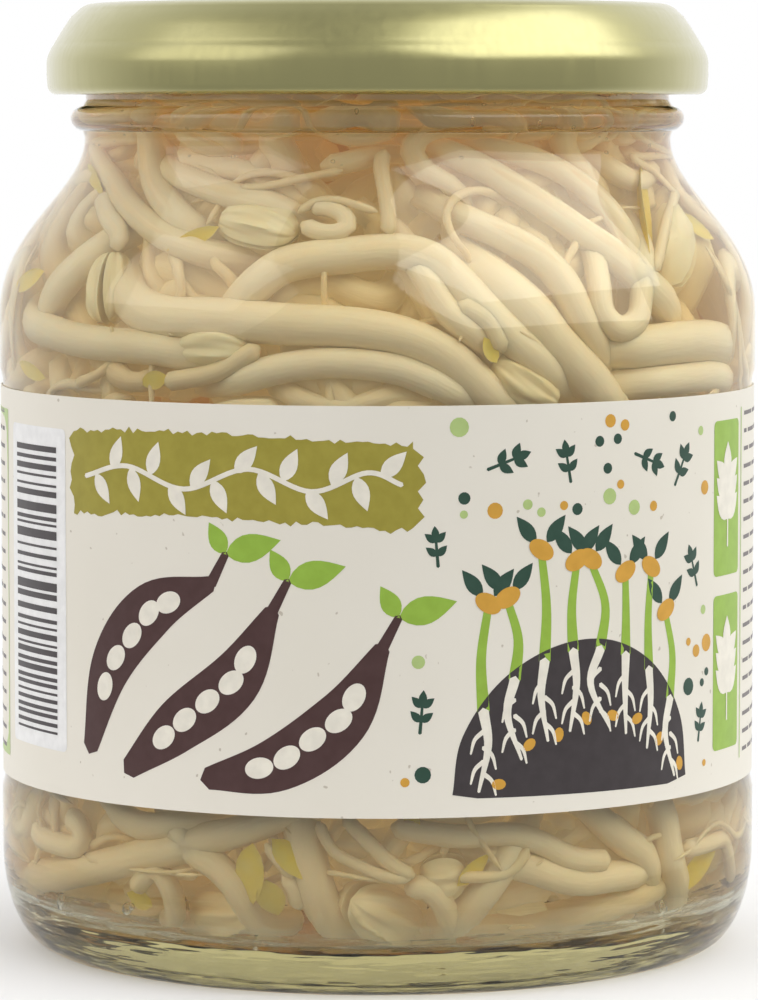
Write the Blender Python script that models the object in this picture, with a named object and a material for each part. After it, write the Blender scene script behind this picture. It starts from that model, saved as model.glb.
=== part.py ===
"""Jar of bean sprouts: a twist-off glass jar with its lid, seal, label, brine and a packed tangle of sprouts.

Metres, +Z up. The origin is the middle of the jar's foot, on the surface that it stands on. The middle of the
label faces -Y. An angle round the jar is counted from there, anticlockwise seen from above.
"""

import math
import random

import bmesh
import bpy
from mathutils import Vector

MM = 0.001

# Driving dimensions of the jar
JAR_HEIGHT = 99.3 * MM          # foot to the top of the lid
BODY_RADIUS = 40.0 * MM
PANEL_RADIUS = 39.3 * MM        # shallow recess that the label lies in
BORE_RADIUS = 36.9 * MM         # inside of the body
NECK_RADIUS = 30.94 * MM
NECK_BORE = 28.3 * MM
FINISH_RADIUS = 30.8 * MM       # upright wall that the lid covers
RIM_HEIGHT = 97.3 * MM          # top of the glass
BEAD_HEIGHT = 87.3 * MM         # middle of the round bead under the lid
BEAD_BULGE = 1.5 * MM
SHOULDER_TOP = 85.3 * MM
SHOULDER_FOOT = 66.8 * MM
HEEL_HEIGHT = 10.5 * MM
FOOT_RADIUS = 35.0 * MM         # outer edge of the flat ring that the jar stands on
FOOT_INNER = 31.5 * MM
FLOOR_HEIGHT = 4.6 * MM         # inside floor at its edge
LABEL_TOP = 59.35 * MM
LABEL_FOOT = 18.55 * MM
ROUND_STEPS = 40

# The lid, its lugs and the thread ridges on the glass
SHEET = 0.5 * MM
LID_RADIUS = 34.9 * MM
LID_FOOT = 89.8 * MM
RIDGE_COUNT = 4
RIDGE_LOW_ANGLE = -42.0         # where the first ridge's low end starts
RIDGE_SPAN = 74.0
RIDGE_LOW_HEIGHT = 89.65 * MM   # underside of a ridge at its low end
RIDGE_RISE = 0.052 * MM         # for each degree
RIDGE_DEPTH = 1.5 * MM
RIDGE_RADIUS = 32.0 * MM
LUG_OFFSET = 25.0               # degrees from a ridge's low end to the lug that it holds
LUG_HALF_SPAN = 4.5

# Paper, liquid and sprouts
PAPER = 0.3 * MM
LABEL_HALF_SPAN = 171.0         # the label's ends stop short of each other at the back
BRINE_LEVEL = 92.5 * MM
GLASS_TO_BRINE = 0.4 * MM
BRINE_WALL = 0.7 * MM
BRINE_TO_SPROUTS = 0.4 * MM
SPROUT_LIMIT = GLASS_TO_BRINE + BRINE_WALL + BRINE_TO_SPROUTS
CORE_DEPTH = 2.8 * MM           # from the outermost sprouts down to the core that they stand out of
STEM_RADIUS = 1.7 * MM
STEM_SIDES = 5
ROW_SIDES = 4
NECK_ROWS = 80.0 * MM           # rows above this go all the way round
SEED = 2
ROW_PITCH = 4.8 * MM            # rows of sprouts laid round the core
HIDDEN_PITCH = 9.0 * MM         # rows behind the label
ROW_LOWEST = 9.5 * MM
ROW_HIGHEST = 87.0 * MM
SPROUT_REACH = 31.0 * MM        # share of the way round that one of them takes
FRONT_HALF_SPAN = 58.0          # the front sprouts lie within this angle, above and below the label


def clear_scene():
    for old in list(bpy.data.objects):
        bpy.data.objects.remove(old, do_unlink=True)


def material(name, colour, roughness, metallic=0.0, alpha=1.0):
    """A Principled material of one colour."""
    made = bpy.data.materials.new(name)
    made.use_nodes = True
    shader = made.node_tree.nodes["Principled BSDF"]
    shader.inputs["Base Color"].default_value = (*colour, 1.0)
    shader.inputs["Roughness"].default_value = roughness
    shader.inputs["Metallic"].default_value = metallic
    shader.inputs["Alpha"].default_value = alpha
    made.diffuse_color = (*colour, alpha)
    return made


def polar(angle, radius, height):
    """The point at an angle in degrees from the front of the jar."""
    turn = math.radians(angle)
    return Vector((radius * math.sin(turn), -radius * math.cos(turn), height))


def arc(centre, radii, start, end, steps):
    """Points on an ellipse's arc in the profile plane, from one angle in degrees to another."""
    points = []
    for step in range(steps + 1):
        turn = math.radians(start + (end - start) * step / steps)
        points.append((centre[0] + radii[0] * math.cos(turn), centre[1] + radii[1] * math.sin(turn)))
    return points


def s_curve(start, end, start_pull, end_pull, steps):
    """A cubic curve that leaves its start straight up or down and reaches its end the same way."""
    handles = [start, (start[0], start[1] + start_pull), (end[0], end[1] - end_pull), end]
    points = []
    for step in range(steps + 1):
        t = step / steps
        weights = [(1 - t) ** 3, 3 * t * (1 - t) ** 2, 3 * t * t * (1 - t), t ** 3]
        points.append(tuple(sum(w * h[axis] for w, h in zip(weights, handles)) for axis in (0, 1)))
    return points


def new_object(name, mesh, finish, smooth_angle=35.0):
    mesh.name = name
    mesh.materials.clear()
    mesh.materials.append(finish)
    mesh.shade_smooth()
    mesh.set_sharp_from_angle(angle=math.radians(smooth_angle))
    piece = bpy.data.objects.new(name, mesh)
    bpy.context.scene.collection.objects.link(piece)
    return piece


def turned(name, outline, finish, closed=False, steps=ROUND_STEPS):
    """Turn an outline round the jar's axis. It runs down the piece's outer side."""
    mesh = bpy.data.meshes.new(name)
    count = len(outline)
    edges = [(i, i + 1) for i in range(count - 1)]
    if closed:
        edges.append((count - 1, 0))
    mesh.from_pydata([(radius, 0.0, height) for radius, height in outline], edges, [])
    piece = new_object(name, mesh, finish)
    screw = piece.modifiers.new("turn", "SCREW")
    screw.steps = steps
    screw.render_steps = steps
    screw.use_merge_vertices = True
    screw.merge_threshold = 0.00001
    screw.use_smooth_shade = True
    return piece


def lofted(rings):
    """A closed mesh through rings of points, with a flat cap on each end."""
    build = bmesh.new()
    loops = [[build.verts.new(point) for point in ring] for ring in rings]
    sides = len(loops[0])
    for lower, upper in zip(loops, loops[1:]):
        for i in range(sides):
            j = (i + 1) % sides
            build.faces.new((lower[i], lower[j], upper[j], upper[i]))
    build.faces.new(list(reversed(loops[0])))
    build.faces.new(loops[-1])
    bmesh.ops.recalc_face_normals(build, faces=build.faces)
    bmesh.ops.triangulate(build, faces=build.faces)
    mesh = bpy.data.meshes.new("loft")
    build.to_mesh(mesh)
    build.free()
    return mesh


def fuse(base, meshes, solver="EXACT"):
    """Join a list of closed meshes to the base piece in one union, and keep the one outer body."""
    group = bpy.data.collections.new(base.name + "_repeats")
    bpy.context.scene.collection.children.link(group)
    for number, mesh in enumerate(meshes):
        group.objects.link(bpy.data.objects.new(f"{base.name}_repeat_{number}", mesh))
    union = base.modifiers.new("union", "BOOLEAN")
    union.operation = "UNION"
    union.operand_type = "COLLECTION"
    union.collection = group
    union.solver = solver
    seen = base.evaluated_get(bpy.context.evaluated_depsgraph_get())
    joined = bpy.data.meshes.new_from_object(seen)
    base.modifiers.clear()
    for repeat in list(group.objects):
        bpy.data.objects.remove(repeat, do_unlink=True)
    bpy.data.collections.remove(group)
    keep_outer_body(joined)
    base.data = joined


def keep_outer_body(mesh):
    """Drop the walls of hollows that the union sealed, and loose scraps."""
    build = bmesh.new()
    build.from_mesh(mesh)
    bmesh.ops.triangulate(build, faces=build.faces)
    unseen = set(build.faces)
    bodies = []
    while unseen:
        body = [unseen.pop()]
        for face in body:
            for edge in face.edges:
                for other in edge.link_faces:
                    if other in unseen:
                        unseen.remove(other)
                        body.append(other)
        corners = [[vertex.co for vertex in face.verts] for face in body]
        bodies.append((sum(a.dot(b.cross(c)) for a, b, c in corners), body))
    bodies.sort(key=lambda entry: entry[0])
    spare = [face for _, body in bodies[:-1] for face in body]
    bmesh.ops.delete(build, geom=spare, context="FACES")
    build.to_mesh(mesh)
    build.free()


def inner_wall(gap, top):
    """The jar's inside from the middle of its floor up to a height, moved in by a gap."""
    heel_radius = 8.0 * MM
    heel_height = 8.4 * MM
    heel_centre = (BORE_RADIUS - heel_radius, FLOOR_HEIGHT + heel_height)
    floor_crown = 1.0 * MM
    wall = [(0.0, FLOOR_HEIGHT + floor_crown + gap), (20.0 * MM, FLOOR_HEIGHT + 0.7 * floor_crown + gap)]
    wall += arc(heel_centre, (heel_radius - gap, heel_height - gap), -90.0, 0.0, 4)
    bottom = (BORE_RADIUS - gap, SHOULDER_FOOT - 1.2 * MM)
    neck = (NECK_BORE - gap, SHOULDER_TOP - 0.9 * MM)
    wall += s_curve(bottom, neck, 6.0 * MM, 5.0 * MM, 5)
    return wall + [(NECK_BORE - gap, top)]


def limit_radius(height):
    """How far out a sprout may reach at a height."""
    wall = inner_wall(SPROUT_LIMIT, BRINE_LEVEL)[2:]
    for (low_radius, low), (high_radius, high) in zip(wall, wall[1:]):
        if low <= height <= high:
            return low_radius + (high_radius - low_radius) * (height - low) / (high - low)
    return wall[0][0] if height < wall[0][1] else wall[-1][0]


def make_glass_jar():
    """One turned shell with the thread ridges joined to its neck."""
    rim_width = (FINISH_RADIUS - NECK_BORE) / 2
    rim_round = 1.1 * MM
    rim_centre = (NECK_BORE + rim_width, RIM_HEIGHT - rim_round)
    outline = inner_wall(0.0, RIM_HEIGHT - rim_round)[:-1]
    outline += arc(rim_centre, (rim_width, rim_round), 180.0, 0.0, 4)
    outline += arc((NECK_RADIUS, BEAD_HEIGHT), (BEAD_BULGE, 1.3 * MM), 90.0, -90.0, 6)
    outline += reversed(s_curve((BODY_RADIUS, SHOULDER_FOOT), (NECK_RADIUS, SHOULDER_TOP),
                                8.98 * MM, 5.65 * MM, 8))
    step = 1.2 * MM
    outline += [(BODY_RADIUS, LABEL_TOP + 2 * step), (PANEL_RADIUS, LABEL_TOP + step)]
    outline += [(PANEL_RADIUS, LABEL_FOOT - step), (BODY_RADIUS, LABEL_FOOT - 2 * step)]
    heel_width = BODY_RADIUS - FOOT_RADIUS
    outline += arc((FOOT_RADIUS, HEEL_HEIGHT), (heel_width, HEEL_HEIGHT), 0.0, -90.0, 6)
    outline += [(FOOT_INNER, 0.0), (FOOT_INNER - 1.3 * MM, 1.1 * MM), (0.0, 2.1 * MM)]
    finish = material("clear glass", (0.86, 0.92, 0.88), 0.04, alpha=0.3)
    jar = turned("glass_jar", outline, finish)
    ridges = [lofted(ridge_rings(RIDGE_LOW_ANGLE + 360.0 * i / RIDGE_COUNT)) for i in range(RIDGE_COUNT)]
    fuse(jar, ridges)
    return jar


def ridge_rings(low_angle):
    """Sections along one thread ridge, which climbs anticlockwise and fades into the neck at its ends."""
    root = FINISH_RADIUS - 0.8 * MM
    steps = 8
    rings = []
    for step in range(steps + 1):
        turned_by = RIDGE_SPAN * step / steps
        fade = min(1.0, step / 1.0 + 0.15, (steps - step) / 1.0 + 0.15)
        crest = FINISH_RADIUS + (RIDGE_RADIUS - FINISH_RADIUS) * fade
        low = RIDGE_LOW_HEIGHT + RIDGE_RISE * turned_by
        section = [(root, low), (crest, low + 0.25 * RIDGE_DEPTH), (crest, low + 0.7 * RIDGE_DEPTH),
                   (root, low + RIDGE_DEPTH)]
        rings.append([polar(low_angle + turned_by, radius, height) for radius, height in section])
    return rings


def make_lid():
    """A pressed sheet cap: raised channel round a sunk panel, sloping side, skirt, rolled edge and lugs."""
    top = JAR_HEIGHT
    button = 8.5 * MM
    panel = 25.4 * MM
    outline = [(0.0, top - 0.5 * MM), (button, top - 0.5 * MM), (button + 1.4 * MM, top - 0.9 * MM),
               (panel, top - 0.9 * MM), (27.0 * MM, top), (30.3 * MM, top), (31.3 * MM, top - 0.35 * MM),
               (31.9 * MM, top - 0.9 * MM), (34.05 * MM, top - 4.1 * MM), (34.6 * MM, top - 5.0 * MM),
               (LID_RADIUS, top - 5.8 * MM), (LID_RADIUS, top - 7.8 * MM)]
    roll = (LID_RADIUS - 1.2 * MM, LID_FOOT + 1.25 * MM)
    outline += arc(roll, (1.2 * MM, 1.25 * MM), -25.0, -90.0, 3)
    outline += [(33.1 * MM, LID_FOOT + 0.05 * MM), (32.8 * MM, LID_FOOT + 0.6 * MM),
                (33.1 * MM, LID_FOOT + 1.2 * MM), (LID_RADIUS - SHEET, LID_FOOT + 1.9 * MM),
                (LID_RADIUS - SHEET, top - 6.0 * MM), (33.5 * MM, top - 4.2 * MM),
                (31.35 * MM, top - 1.1 * MM), (30.2 * MM, top - SHEET), (27.2 * MM, top - SHEET),
                (panel + 0.2 * MM, top - 0.9 * MM - SHEET), (button + 1.5 * MM, top - 0.9 * MM - SHEET),
                (button - 0.1 * MM, top - 0.5 * MM - SHEET), (0.0, top - 0.5 * MM - SHEET)]
    finish = material("gold lacquered steel", (0.42, 0.38, 0.17), 0.32, metallic=1.0)
    lid = turned("lid", outline, finish)
    lugs = []
    for i in range(RIDGE_COUNT):
        middle = RIDGE_LOW_ANGLE + LUG_OFFSET + 360.0 * i / RIDGE_COUNT
        section = [(31.25, 0.15), (33.5, 0.1), (33.5, 0.6), (31.25, 0.55)]
        rings = [[polar(middle + side * LUG_HALF_SPAN, radius * MM, LID_FOOT + height * MM)
                  for radius, height in section] for side in (-1, 0, 1)]
        lugs.append(lofted(rings))
    fuse(lid, lugs)
    return lid


def make_sealing_ring():
    under = JAR_HEIGHT - SHEET - 0.3 * MM
    foot = RIM_HEIGHT + 0.3 * MM
    outline = [(27.9 * MM, under), (30.5 * MM, under), (30.5 * MM, foot + 0.25 * MM), (30.0 * MM, foot),
               (28.5 * MM, foot), (27.9 * MM, foot + 0.25 * MM)]
    return turned("sealing_ring", outline, material("soft compound", (0.78, 0.74, 0.66), 0.6), closed=True)


def make_label():
    """A strip of paper round the body, with a bare strip of glass between its ends at the back."""
    outer = PANEL_RADIUS + 2 * PAPER
    inner = PANEL_RADIUS + PAPER
    section = [(inner, LABEL_FOOT), (outer, LABEL_FOOT), (outer, LABEL_TOP), (inner, LABEL_TOP)]
    steps = round(2 * LABEL_HALF_SPAN / (360.0 / ROUND_STEPS))
    rings = []
    for step in range(steps + 1):
        angle = -LABEL_HALF_SPAN + 2 * LABEL_HALF_SPAN * step / steps
        rings.append([polar(angle, radius, height) for radius, height in section])
    finish = material("cream paper", (0.80, 0.77, 0.66), 0.7)
    return new_object("label", lofted(rings), finish)


def make_brine():
    """The liquid: it fills the jar to its level, with one plain hollow that the tangle of sprouts stands in."""
    outline = inner_wall(GLASS_TO_BRINE + BRINE_WALL, BRINE_LEVEL)
    outline += reversed(inner_wall(GLASS_TO_BRINE, BRINE_LEVEL))
    finish = material("golden brine", (0.62, 0.45, 0.24), 0.05, alpha=0.35)
    return turned("brine", outline, finish, steps=ROUND_STEPS // 2)


def wall_path(route, radius, sink=0.0):
    """Lay a route of (angle, height in mm) on the inside of the hollow, with room for a stem's radius."""
    path = []
    for angle, height in route:
        floor = FLOOR_HEIGHT + SPROUT_LIMIT + radius + 0.8 * MM
        level = max(height * MM, floor)
        path.append(polar(angle, limit_radius(level) - 1.25 * radius - sink, level))
    return path


def tube(path, radii, sides):
    """A closed tube along a path, with its own radius at each point."""
    rings = []
    for i, point in enumerate(path):
        ahead = path[min(i + 1, len(path) - 1)]
        behind = path[max(i - 1, 0)]
        along = (ahead - behind).normalized()
        outward = Vector((point.x, point.y, 0.0)).normalized()
        across = along.cross(outward).normalized()
        lift = across.cross(along)
        ring = []
        for side in range(sides):
            turn = 2 * math.pi * (side + 0.5) / sides
            ring.append(point + radii[i] * (math.cos(turn) * lift + math.sin(turn) * across))
        rings.append(ring)
    return lofted(rings)


def stem(route, radius=STEM_RADIUS, sides=STEM_SIDES, taper=False, sink=0.0):
    """A stem along the wall. A tapered one thins to its root at the end of its route."""
    radii = [radius] * len(route)
    if taper:
        radii[-1] = 0.4 * MM
        radii[-2] = 0.6 * radius
    return tube(wall_path(route, radius, sink), radii, sides)


def bean(route, radius=2.5 * MM, sides=STEM_SIDES, sink=0.0):
    """One seed leaf of a bean: a long egg between two points of the wall."""
    start, end = wall_path(route, radius, sink)
    shares = (0.0, 0.25, 0.7, 1.0)
    path = [start.lerp(end, share) for share in shares]
    return tube(path, [radius * swell for swell in (0.4, 1.0, 0.95, 0.4)], sides)


def leaf(route, radius=1.5 * MM):
    """A small folded leaf that narrows to a point."""
    start, end = wall_path(route, radius)
    path = [start, start.lerp(end, 0.45), end]
    return tube(path, [0.5 * radius, radius, 0.3 * MM], 4)


def front_sprouts():
    """The sprouts that show through the glass above and below the label's front, by angle and height."""
    stems = [
        [(-12, 76.5), (-6, 76), (-4, 77.5), (-9, 79.5)],
        [(-19, 70.5), (-12, 73.5), (-2, 74.5), (7, 74), (14, 71), (27, 63)],
        [(-42, 68), (-30, 67), (-15, 67), (0, 66.5), (11, 64), (19, 60)],
        [(-21, 62), (-6, 63), (7, 62.5), (14, 60)],
        [(-48, 65), (-38, 65), (-30, 64.5)],
        [(-34, 61.5), (-26, 62.5), (-19, 65)],
        [(-50, 87), (-48, 82), (-42, 78), (-31, 75)],
        [(21, 69.5), (26, 67), (29, 63.5), (37, 60)],
        [(36, 71), (35, 67.5), (40, 65.5), (44, 67), (45, 73)],
        [(8, 72), (14, 67), (19, 63)],
        [(1, 84), (1, 80), (2, 76)],
        [(30, 85), (44, 83), (56, 81), (66, 77)],
        [(-71, 9), (-51, 11.5), (-33, 14), (-12, 18.5)],
        [(-40, 9), (-35, 11), (-31, 8.5), (-33, 7)],
        [(-66, 14), (-60, 11.5), (-53, 12.5), (-53, 15.5)],
        [(-45, 18), (-40, 16), (-32, 16)],
        [(-12, 18), (-10, 12), (-6, 8), (-2, 7)],
        [(4, 9.5), (10, 10), (12, 8)],
        [(2, 17.5), (15, 16.5), (26, 15), (38, 12)],
        [(8, 7), (20, 7.5), (32, 8), (46, 10)],
        [(50, 17), (52, 12), (48, 8)],
        [(34, 18.5), (39, 15.5), (46, 12)],
    ]
    roots = [
        [(-12, 78), (-7, 79.5), (-3, 79.5), (4, 78)],
        [(-9, 18), (-6, 14.5), (0, 12.5), (6, 11)],
    ]
    beans = [
        [(-24, 78), (-14, 77)], [(-45, 73), (-46, 67.5)], [(-58, 70), (-52, 72.5)], [(-31, 65), (-23, 64)],
        [(18, 63.5), (27, 60.5)], [(43, 64), (55, 64)], [(-45, 7.5), (-35, 7)], [(-29, 8), (-18, 8.5)],
        [(-5, 10.5), (4, 7.5)], [(7, 12), (14, 12.5)], [(15, 9.5), (21, 13.5)], [(55, 8), (67, 9)],
    ]
    leaves = [
        [(43, 81.5), (44, 74)], [(52, 78), (60, 75.5)], [(-31, 76), (-25, 77.5)], [(-46, 81), (-42, 79)],
        [(18, 63.5), (15, 65.5)], [(-19, 15.5), (-19, 10)], [(-14, 11.5), (-11, 9)], [(-46, 8), (-52, 11)],
        [(54, 11), (63, 11)],
    ]
    meshes = [stem(route) for route in stems]
    meshes += [stem(route, 0.7 * MM) for route in roots]
    meshes += [bean(route) for route in beans]
    meshes += [leaf(route) for route in leaves]
    return meshes


def row_sprout(draw, angle, height):
    """One sprout of a row: a stem that thins to its root, sometimes with its bean on a hooked neck."""
    reach = SPROUT_REACH * draw.uniform(0.8, 1.0)
    span = math.degrees(reach / limit_radius(height * MM))
    slope = draw.uniform(-0.3, 0.3)
    bow = draw.uniform(-1.8, 1.8)
    way = draw.choice((-1.0, 1.0))
    lowest, highest = ROW_LOWEST / MM - 1.0, ROW_HIGHEST / MM
    route = []
    for share in (0.0, 0.5, 1.0):
        rise = slope * reach / MM * (share - 0.5) + bow * math.sin(math.pi * share)
        route.append((angle + way * span * (share - 0.5), min(max(height + rise, lowest), highest)))
    radius = STEM_RADIUS * draw.uniform(0.9, 1.15)
    pieces = [stem(route, radius, ROW_SIDES, taper=True, sink=draw.uniform(0.0, 0.5) * MM)]
    if draw.random() < 0.3:
        head_angle, head_height = route[0]
        tip = (head_angle + way * 9.0, min(max(head_height + draw.choice((-3.5, 3.5)), lowest), highest))
        pieces.append(bean([route[0], tip], 2.3 * MM, ROW_SIDES))
    return pieces


def rows_of_sprouts(draw):
    """Sprouts laid end to end in rows round the core, clear of where the front sprouts lie."""
    meshes = []
    height = ROW_LOWEST
    while height <= ROW_HIGHEST:
        behind_label = LABEL_FOOT < height < LABEL_TOP
        count = round(2 * math.pi * limit_radius(height) / SPROUT_REACH)
        start = draw.uniform(0.0, 360.0)
        for i in range(count):
            angle = (start + 360.0 * i / count) % 360.0 - 180.0
            level = height / MM + draw.uniform(-0.8, 0.8)
            if behind_label or abs(angle) > FRONT_HALF_SPAN or height > NECK_ROWS:
                meshes += row_sprout(draw, angle, level)
        height += HIDDEN_PITCH if behind_label else ROW_PITCH
    return meshes


def make_bean_sprouts():
    """The tangle: a smaller core, and sprouts on its whole surface that stand out of it."""
    outline = inner_wall(SPROUT_LIMIT + CORE_DEPTH, 84.0 * MM)
    outline = [(radius, height) for radius, height in outline if radius > 0.0][::2]
    top = [(0.0, 86.5 * MM), (0.6 * outline[-1][0], 86.0 * MM)]
    outline = top + list(reversed(outline)) + [(0.0, outline[0][1])]
    flesh = material("sprout flesh", (0.78, 0.68, 0.42), 0.45)
    tangle = turned("bean_sprouts", outline, flesh, steps=ROUND_STEPS // 3)
    draw = random.Random(SEED)
    meshes = front_sprouts()
    meshes += rows_of_sprouts(draw)
    fuse(tangle, meshes, solver="MANIFOLD")
    return tangle


def main():
    clear_scene()
    make_glass_jar()
    make_lid()
    make_sealing_ring()
    make_label()
    make_brine()
    make_bean_sprouts()


main()
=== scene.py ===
# %% [markdown]
# # A jar of bean sprouts
# A twist-off glass jar holds pale sprouts in golden brine, under a gold lid and behind a paper label. The
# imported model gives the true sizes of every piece. This lesson dresses it: each plain solid is replaced
# by a finer piece in the same place, and each surface gets a material built from nodes.

# %% Load the frame
import math

import bpy
import numpy as np
from mathutils import Matrix, Vector, geometry, kdtree


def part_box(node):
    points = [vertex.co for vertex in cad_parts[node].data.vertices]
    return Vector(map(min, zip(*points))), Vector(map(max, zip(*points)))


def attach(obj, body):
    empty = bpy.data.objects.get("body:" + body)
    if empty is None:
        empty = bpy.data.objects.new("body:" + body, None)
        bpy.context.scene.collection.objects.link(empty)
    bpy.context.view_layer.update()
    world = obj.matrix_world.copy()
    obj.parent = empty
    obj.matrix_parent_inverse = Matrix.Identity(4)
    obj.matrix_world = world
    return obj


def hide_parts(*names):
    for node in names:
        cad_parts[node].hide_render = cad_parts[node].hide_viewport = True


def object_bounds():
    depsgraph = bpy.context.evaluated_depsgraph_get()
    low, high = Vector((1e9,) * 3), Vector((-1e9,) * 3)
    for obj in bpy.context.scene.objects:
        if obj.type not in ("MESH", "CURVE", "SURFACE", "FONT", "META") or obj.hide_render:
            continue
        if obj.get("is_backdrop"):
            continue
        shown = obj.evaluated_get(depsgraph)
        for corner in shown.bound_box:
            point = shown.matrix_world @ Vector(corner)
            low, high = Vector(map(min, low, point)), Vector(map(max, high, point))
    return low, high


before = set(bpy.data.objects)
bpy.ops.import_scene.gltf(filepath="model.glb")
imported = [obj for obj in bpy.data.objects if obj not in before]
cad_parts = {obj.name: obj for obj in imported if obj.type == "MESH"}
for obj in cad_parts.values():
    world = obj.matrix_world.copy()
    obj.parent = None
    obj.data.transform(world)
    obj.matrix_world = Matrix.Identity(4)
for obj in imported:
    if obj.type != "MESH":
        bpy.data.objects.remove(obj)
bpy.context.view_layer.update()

MM = 0.001

# %% [markdown]
# ## The camera
# The photograph looks almost level at the jar, a little from above, with a long lens. A camera that is
# tipped down by a few degrees gives the same picture as one that is shifted, and it keeps the jar in the
# middle when it is moved round to look at the sides.

# %% Camera
scene = bpy.context.scene
FRAME_HEIGHT = 1000             # pixels, the longer side of the photograph
LENS_PIXELS = 4792.5            # focal length, measured from how the label's edges curve
CAMERA_PLACE = (0.16 * MM, -508.6 * MM, 89.65 * MM)
CAMERA_TIP = 4.82               # degrees down from level

camera_data = bpy.data.cameras.new("camera")
camera_data.sensor_width = 36.0
camera_data.lens = LENS_PIXELS * camera_data.sensor_width / FRAME_HEIGHT
camera_data.clip_start = 0.01
camera = bpy.data.objects.new("camera", camera_data)
camera.location = CAMERA_PLACE
camera.rotation_euler = (math.radians(90.0 - CAMERA_TIP), 0.0, 0.0)
scene.collection.objects.link(camera)
bpy.context.scene.camera = camera
print("lens in mm", round(camera_data.lens, 1))

# %% [markdown]
# ## Helpers for materials
# A material is a small network of nodes. Written out in full, each network would take a page, so a small
# class keeps it short: it starts a material with its Principled shader, adds a node with its values or
# links in one line, and has a word for each thing that this jar needs often: noise, a ramp, a span, a mix
# and a bump.

# %% Helpers for node materials
class Finish:
    """A material under construction."""

    def __init__(self, name):
        self.material = bpy.data.materials.new(name)
        self.material.use_nodes = True
        self.tree = self.material.node_tree
        self.shader = self.tree.nodes["Principled BSDF"]
        self.output = self.tree.nodes["Material Output"]

    def add(self, kind, settings=None, **inputs):
        """A node of a kind. An input given as a socket is linked, and any other is its value."""
        node = self.tree.nodes.new(kind)
        for key, value in (settings or {}).items():
            setattr(node, key, value)
        for key, value in inputs.items():
            self.set(node, key.replace("_", " "), value)
        return node

    def set(self, node, key, value):
        """Link or set one input, named by its label or, as n0, n1 and so on, by its number."""
        socket = node.inputs[int(key[1:])] if key[0] == "n" and key[1:].isdigit() else node.inputs[key]
        if isinstance(value, bpy.types.NodeSocket):
            self.tree.links.new(value, socket)
        else:
            socket.default_value = value

    def place(self):
        """The point on the piece, in metres from the jar's foot."""
        return self.add("ShaderNodeTexCoord").outputs["Object"]

    def noise(self, scale, detail=3.0, place=None):
        """Soft random variation, finer as the scale grows."""
        node = self.add("ShaderNodeTexNoise", Scale=scale, Detail=detail, Vector=place or self.place())
        return node.outputs["Fac"]

    def ramp(self, value, stops):
        """A smooth scale of colours: stops are (position, colour)."""
        node = self.add("ShaderNodeValToRGB", Fac=value)
        elements = node.color_ramp.elements
        while len(elements) < len(stops):
            elements.new(0.5)
        for element, (position, colour) in zip(elements, stops):
            element.position = position
            element.color = (*colour, 1.0) if len(colour) == 3 else colour
        return node.outputs["Color"]

    def span(self, value, low, high, to_low=0.0, to_high=1.0):
        """Map a value from one range to another."""
        node = self.add("ShaderNodeMapRange", n0=value, n1=low, n2=high, n3=to_low, n4=to_high)
        return node.outputs["Result"]

    def mix(self, share, first, second):
        """Mix two colours."""
        node = self.add("ShaderNodeMix", {"data_type": "RGBA"})
        for socket, value in ((0, share), (6, first), (7, second)):
            if isinstance(value, bpy.types.NodeSocket):
                self.tree.links.new(value, node.inputs[socket])
            elif isinstance(value, tuple):
                node.inputs[socket].default_value = (*value, 1.0)
            else:
                node.inputs[socket].default_value = value
        return node.outputs[2]

    def bump(self, height, strength, distance):
        """Fine relief: the distance is its height in metres."""
        node = self.add("ShaderNodeBump", Strength=strength, Distance=distance, Height=height)
        return node.outputs["Normal"]

    def look(self, **inputs):
        """Set the Principled shader's inputs."""
        for key, value in inputs.items():
            if isinstance(value, tuple) and len(value) == 3 and "Color" in key:
                value = (*value, 1.0)
            self.set(self.shader, key.replace("_", " "), value)

    def let_light_through(self, tint):
        """Shadow rays pass straight through, so that what stands behind the glass is lit by the lamps."""
        path = self.add("ShaderNodeLightPath").outputs["Is Shadow Ray"]
        clear = self.add("ShaderNodeBsdfTransparent", Color=(*tint, 1.0)).outputs["BSDF"]
        mixed = self.add("ShaderNodeMixShader", Fac=path, n1=self.shader.outputs["BSDF"], n2=clear)
        self.tree.links.new(mixed.outputs["Shader"], self.output.inputs["Surface"])


# %% Dress a piece
def wear(piece, finish, body, slot, *replaced):
    """Give a piece its finish, its body and the solids that it stands for. The slot is not used."""
    piece.data.materials.clear()
    piece.data.materials.append(finish.material)
    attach(piece, body)
    if replaced:
        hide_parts(*replaced)
    print(piece.name, len(piece.data.polygons), "faces on", body)


# %% [markdown]
# ## Light
# A studio shot of glass needs large soft lights, because glass shows them as its highlights. One big
# softbox stands to the right in front, and a dimmer one to the left. Each is two lamps in one place: one
# lights what is rough, and the other only shows as a highlight, so that the two strengths can be set
# apart.

# %% Light paths
scene.view_settings.view_transform = "Standard"
scene.cycles.transparent_max_bounces = 16
scene.cycles.transmission_bounces = 12
scene.cycles.max_bounces = 14
scene.cycles.diffuse_bounces = 3
scene.cycles.glossy_bounces = 4
print("light passes through up to", scene.cycles.transmission_bounces, "faces of glass and liquid")


# %% Softboxes
def direction(azimuth, elevation):
    """The way to a point round the jar: azimuth 0 is towards the camera, 90 is to the right."""
    turn, rise = math.radians(azimuth), math.radians(elevation)
    return Vector((math.cos(rise) * math.sin(turn), -math.cos(rise) * math.cos(turn), math.sin(rise)))


LAMP_DISTANCE = 0.9
SHOULDER = Vector((0.0, 0.0, 60.0 * MM))


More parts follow.
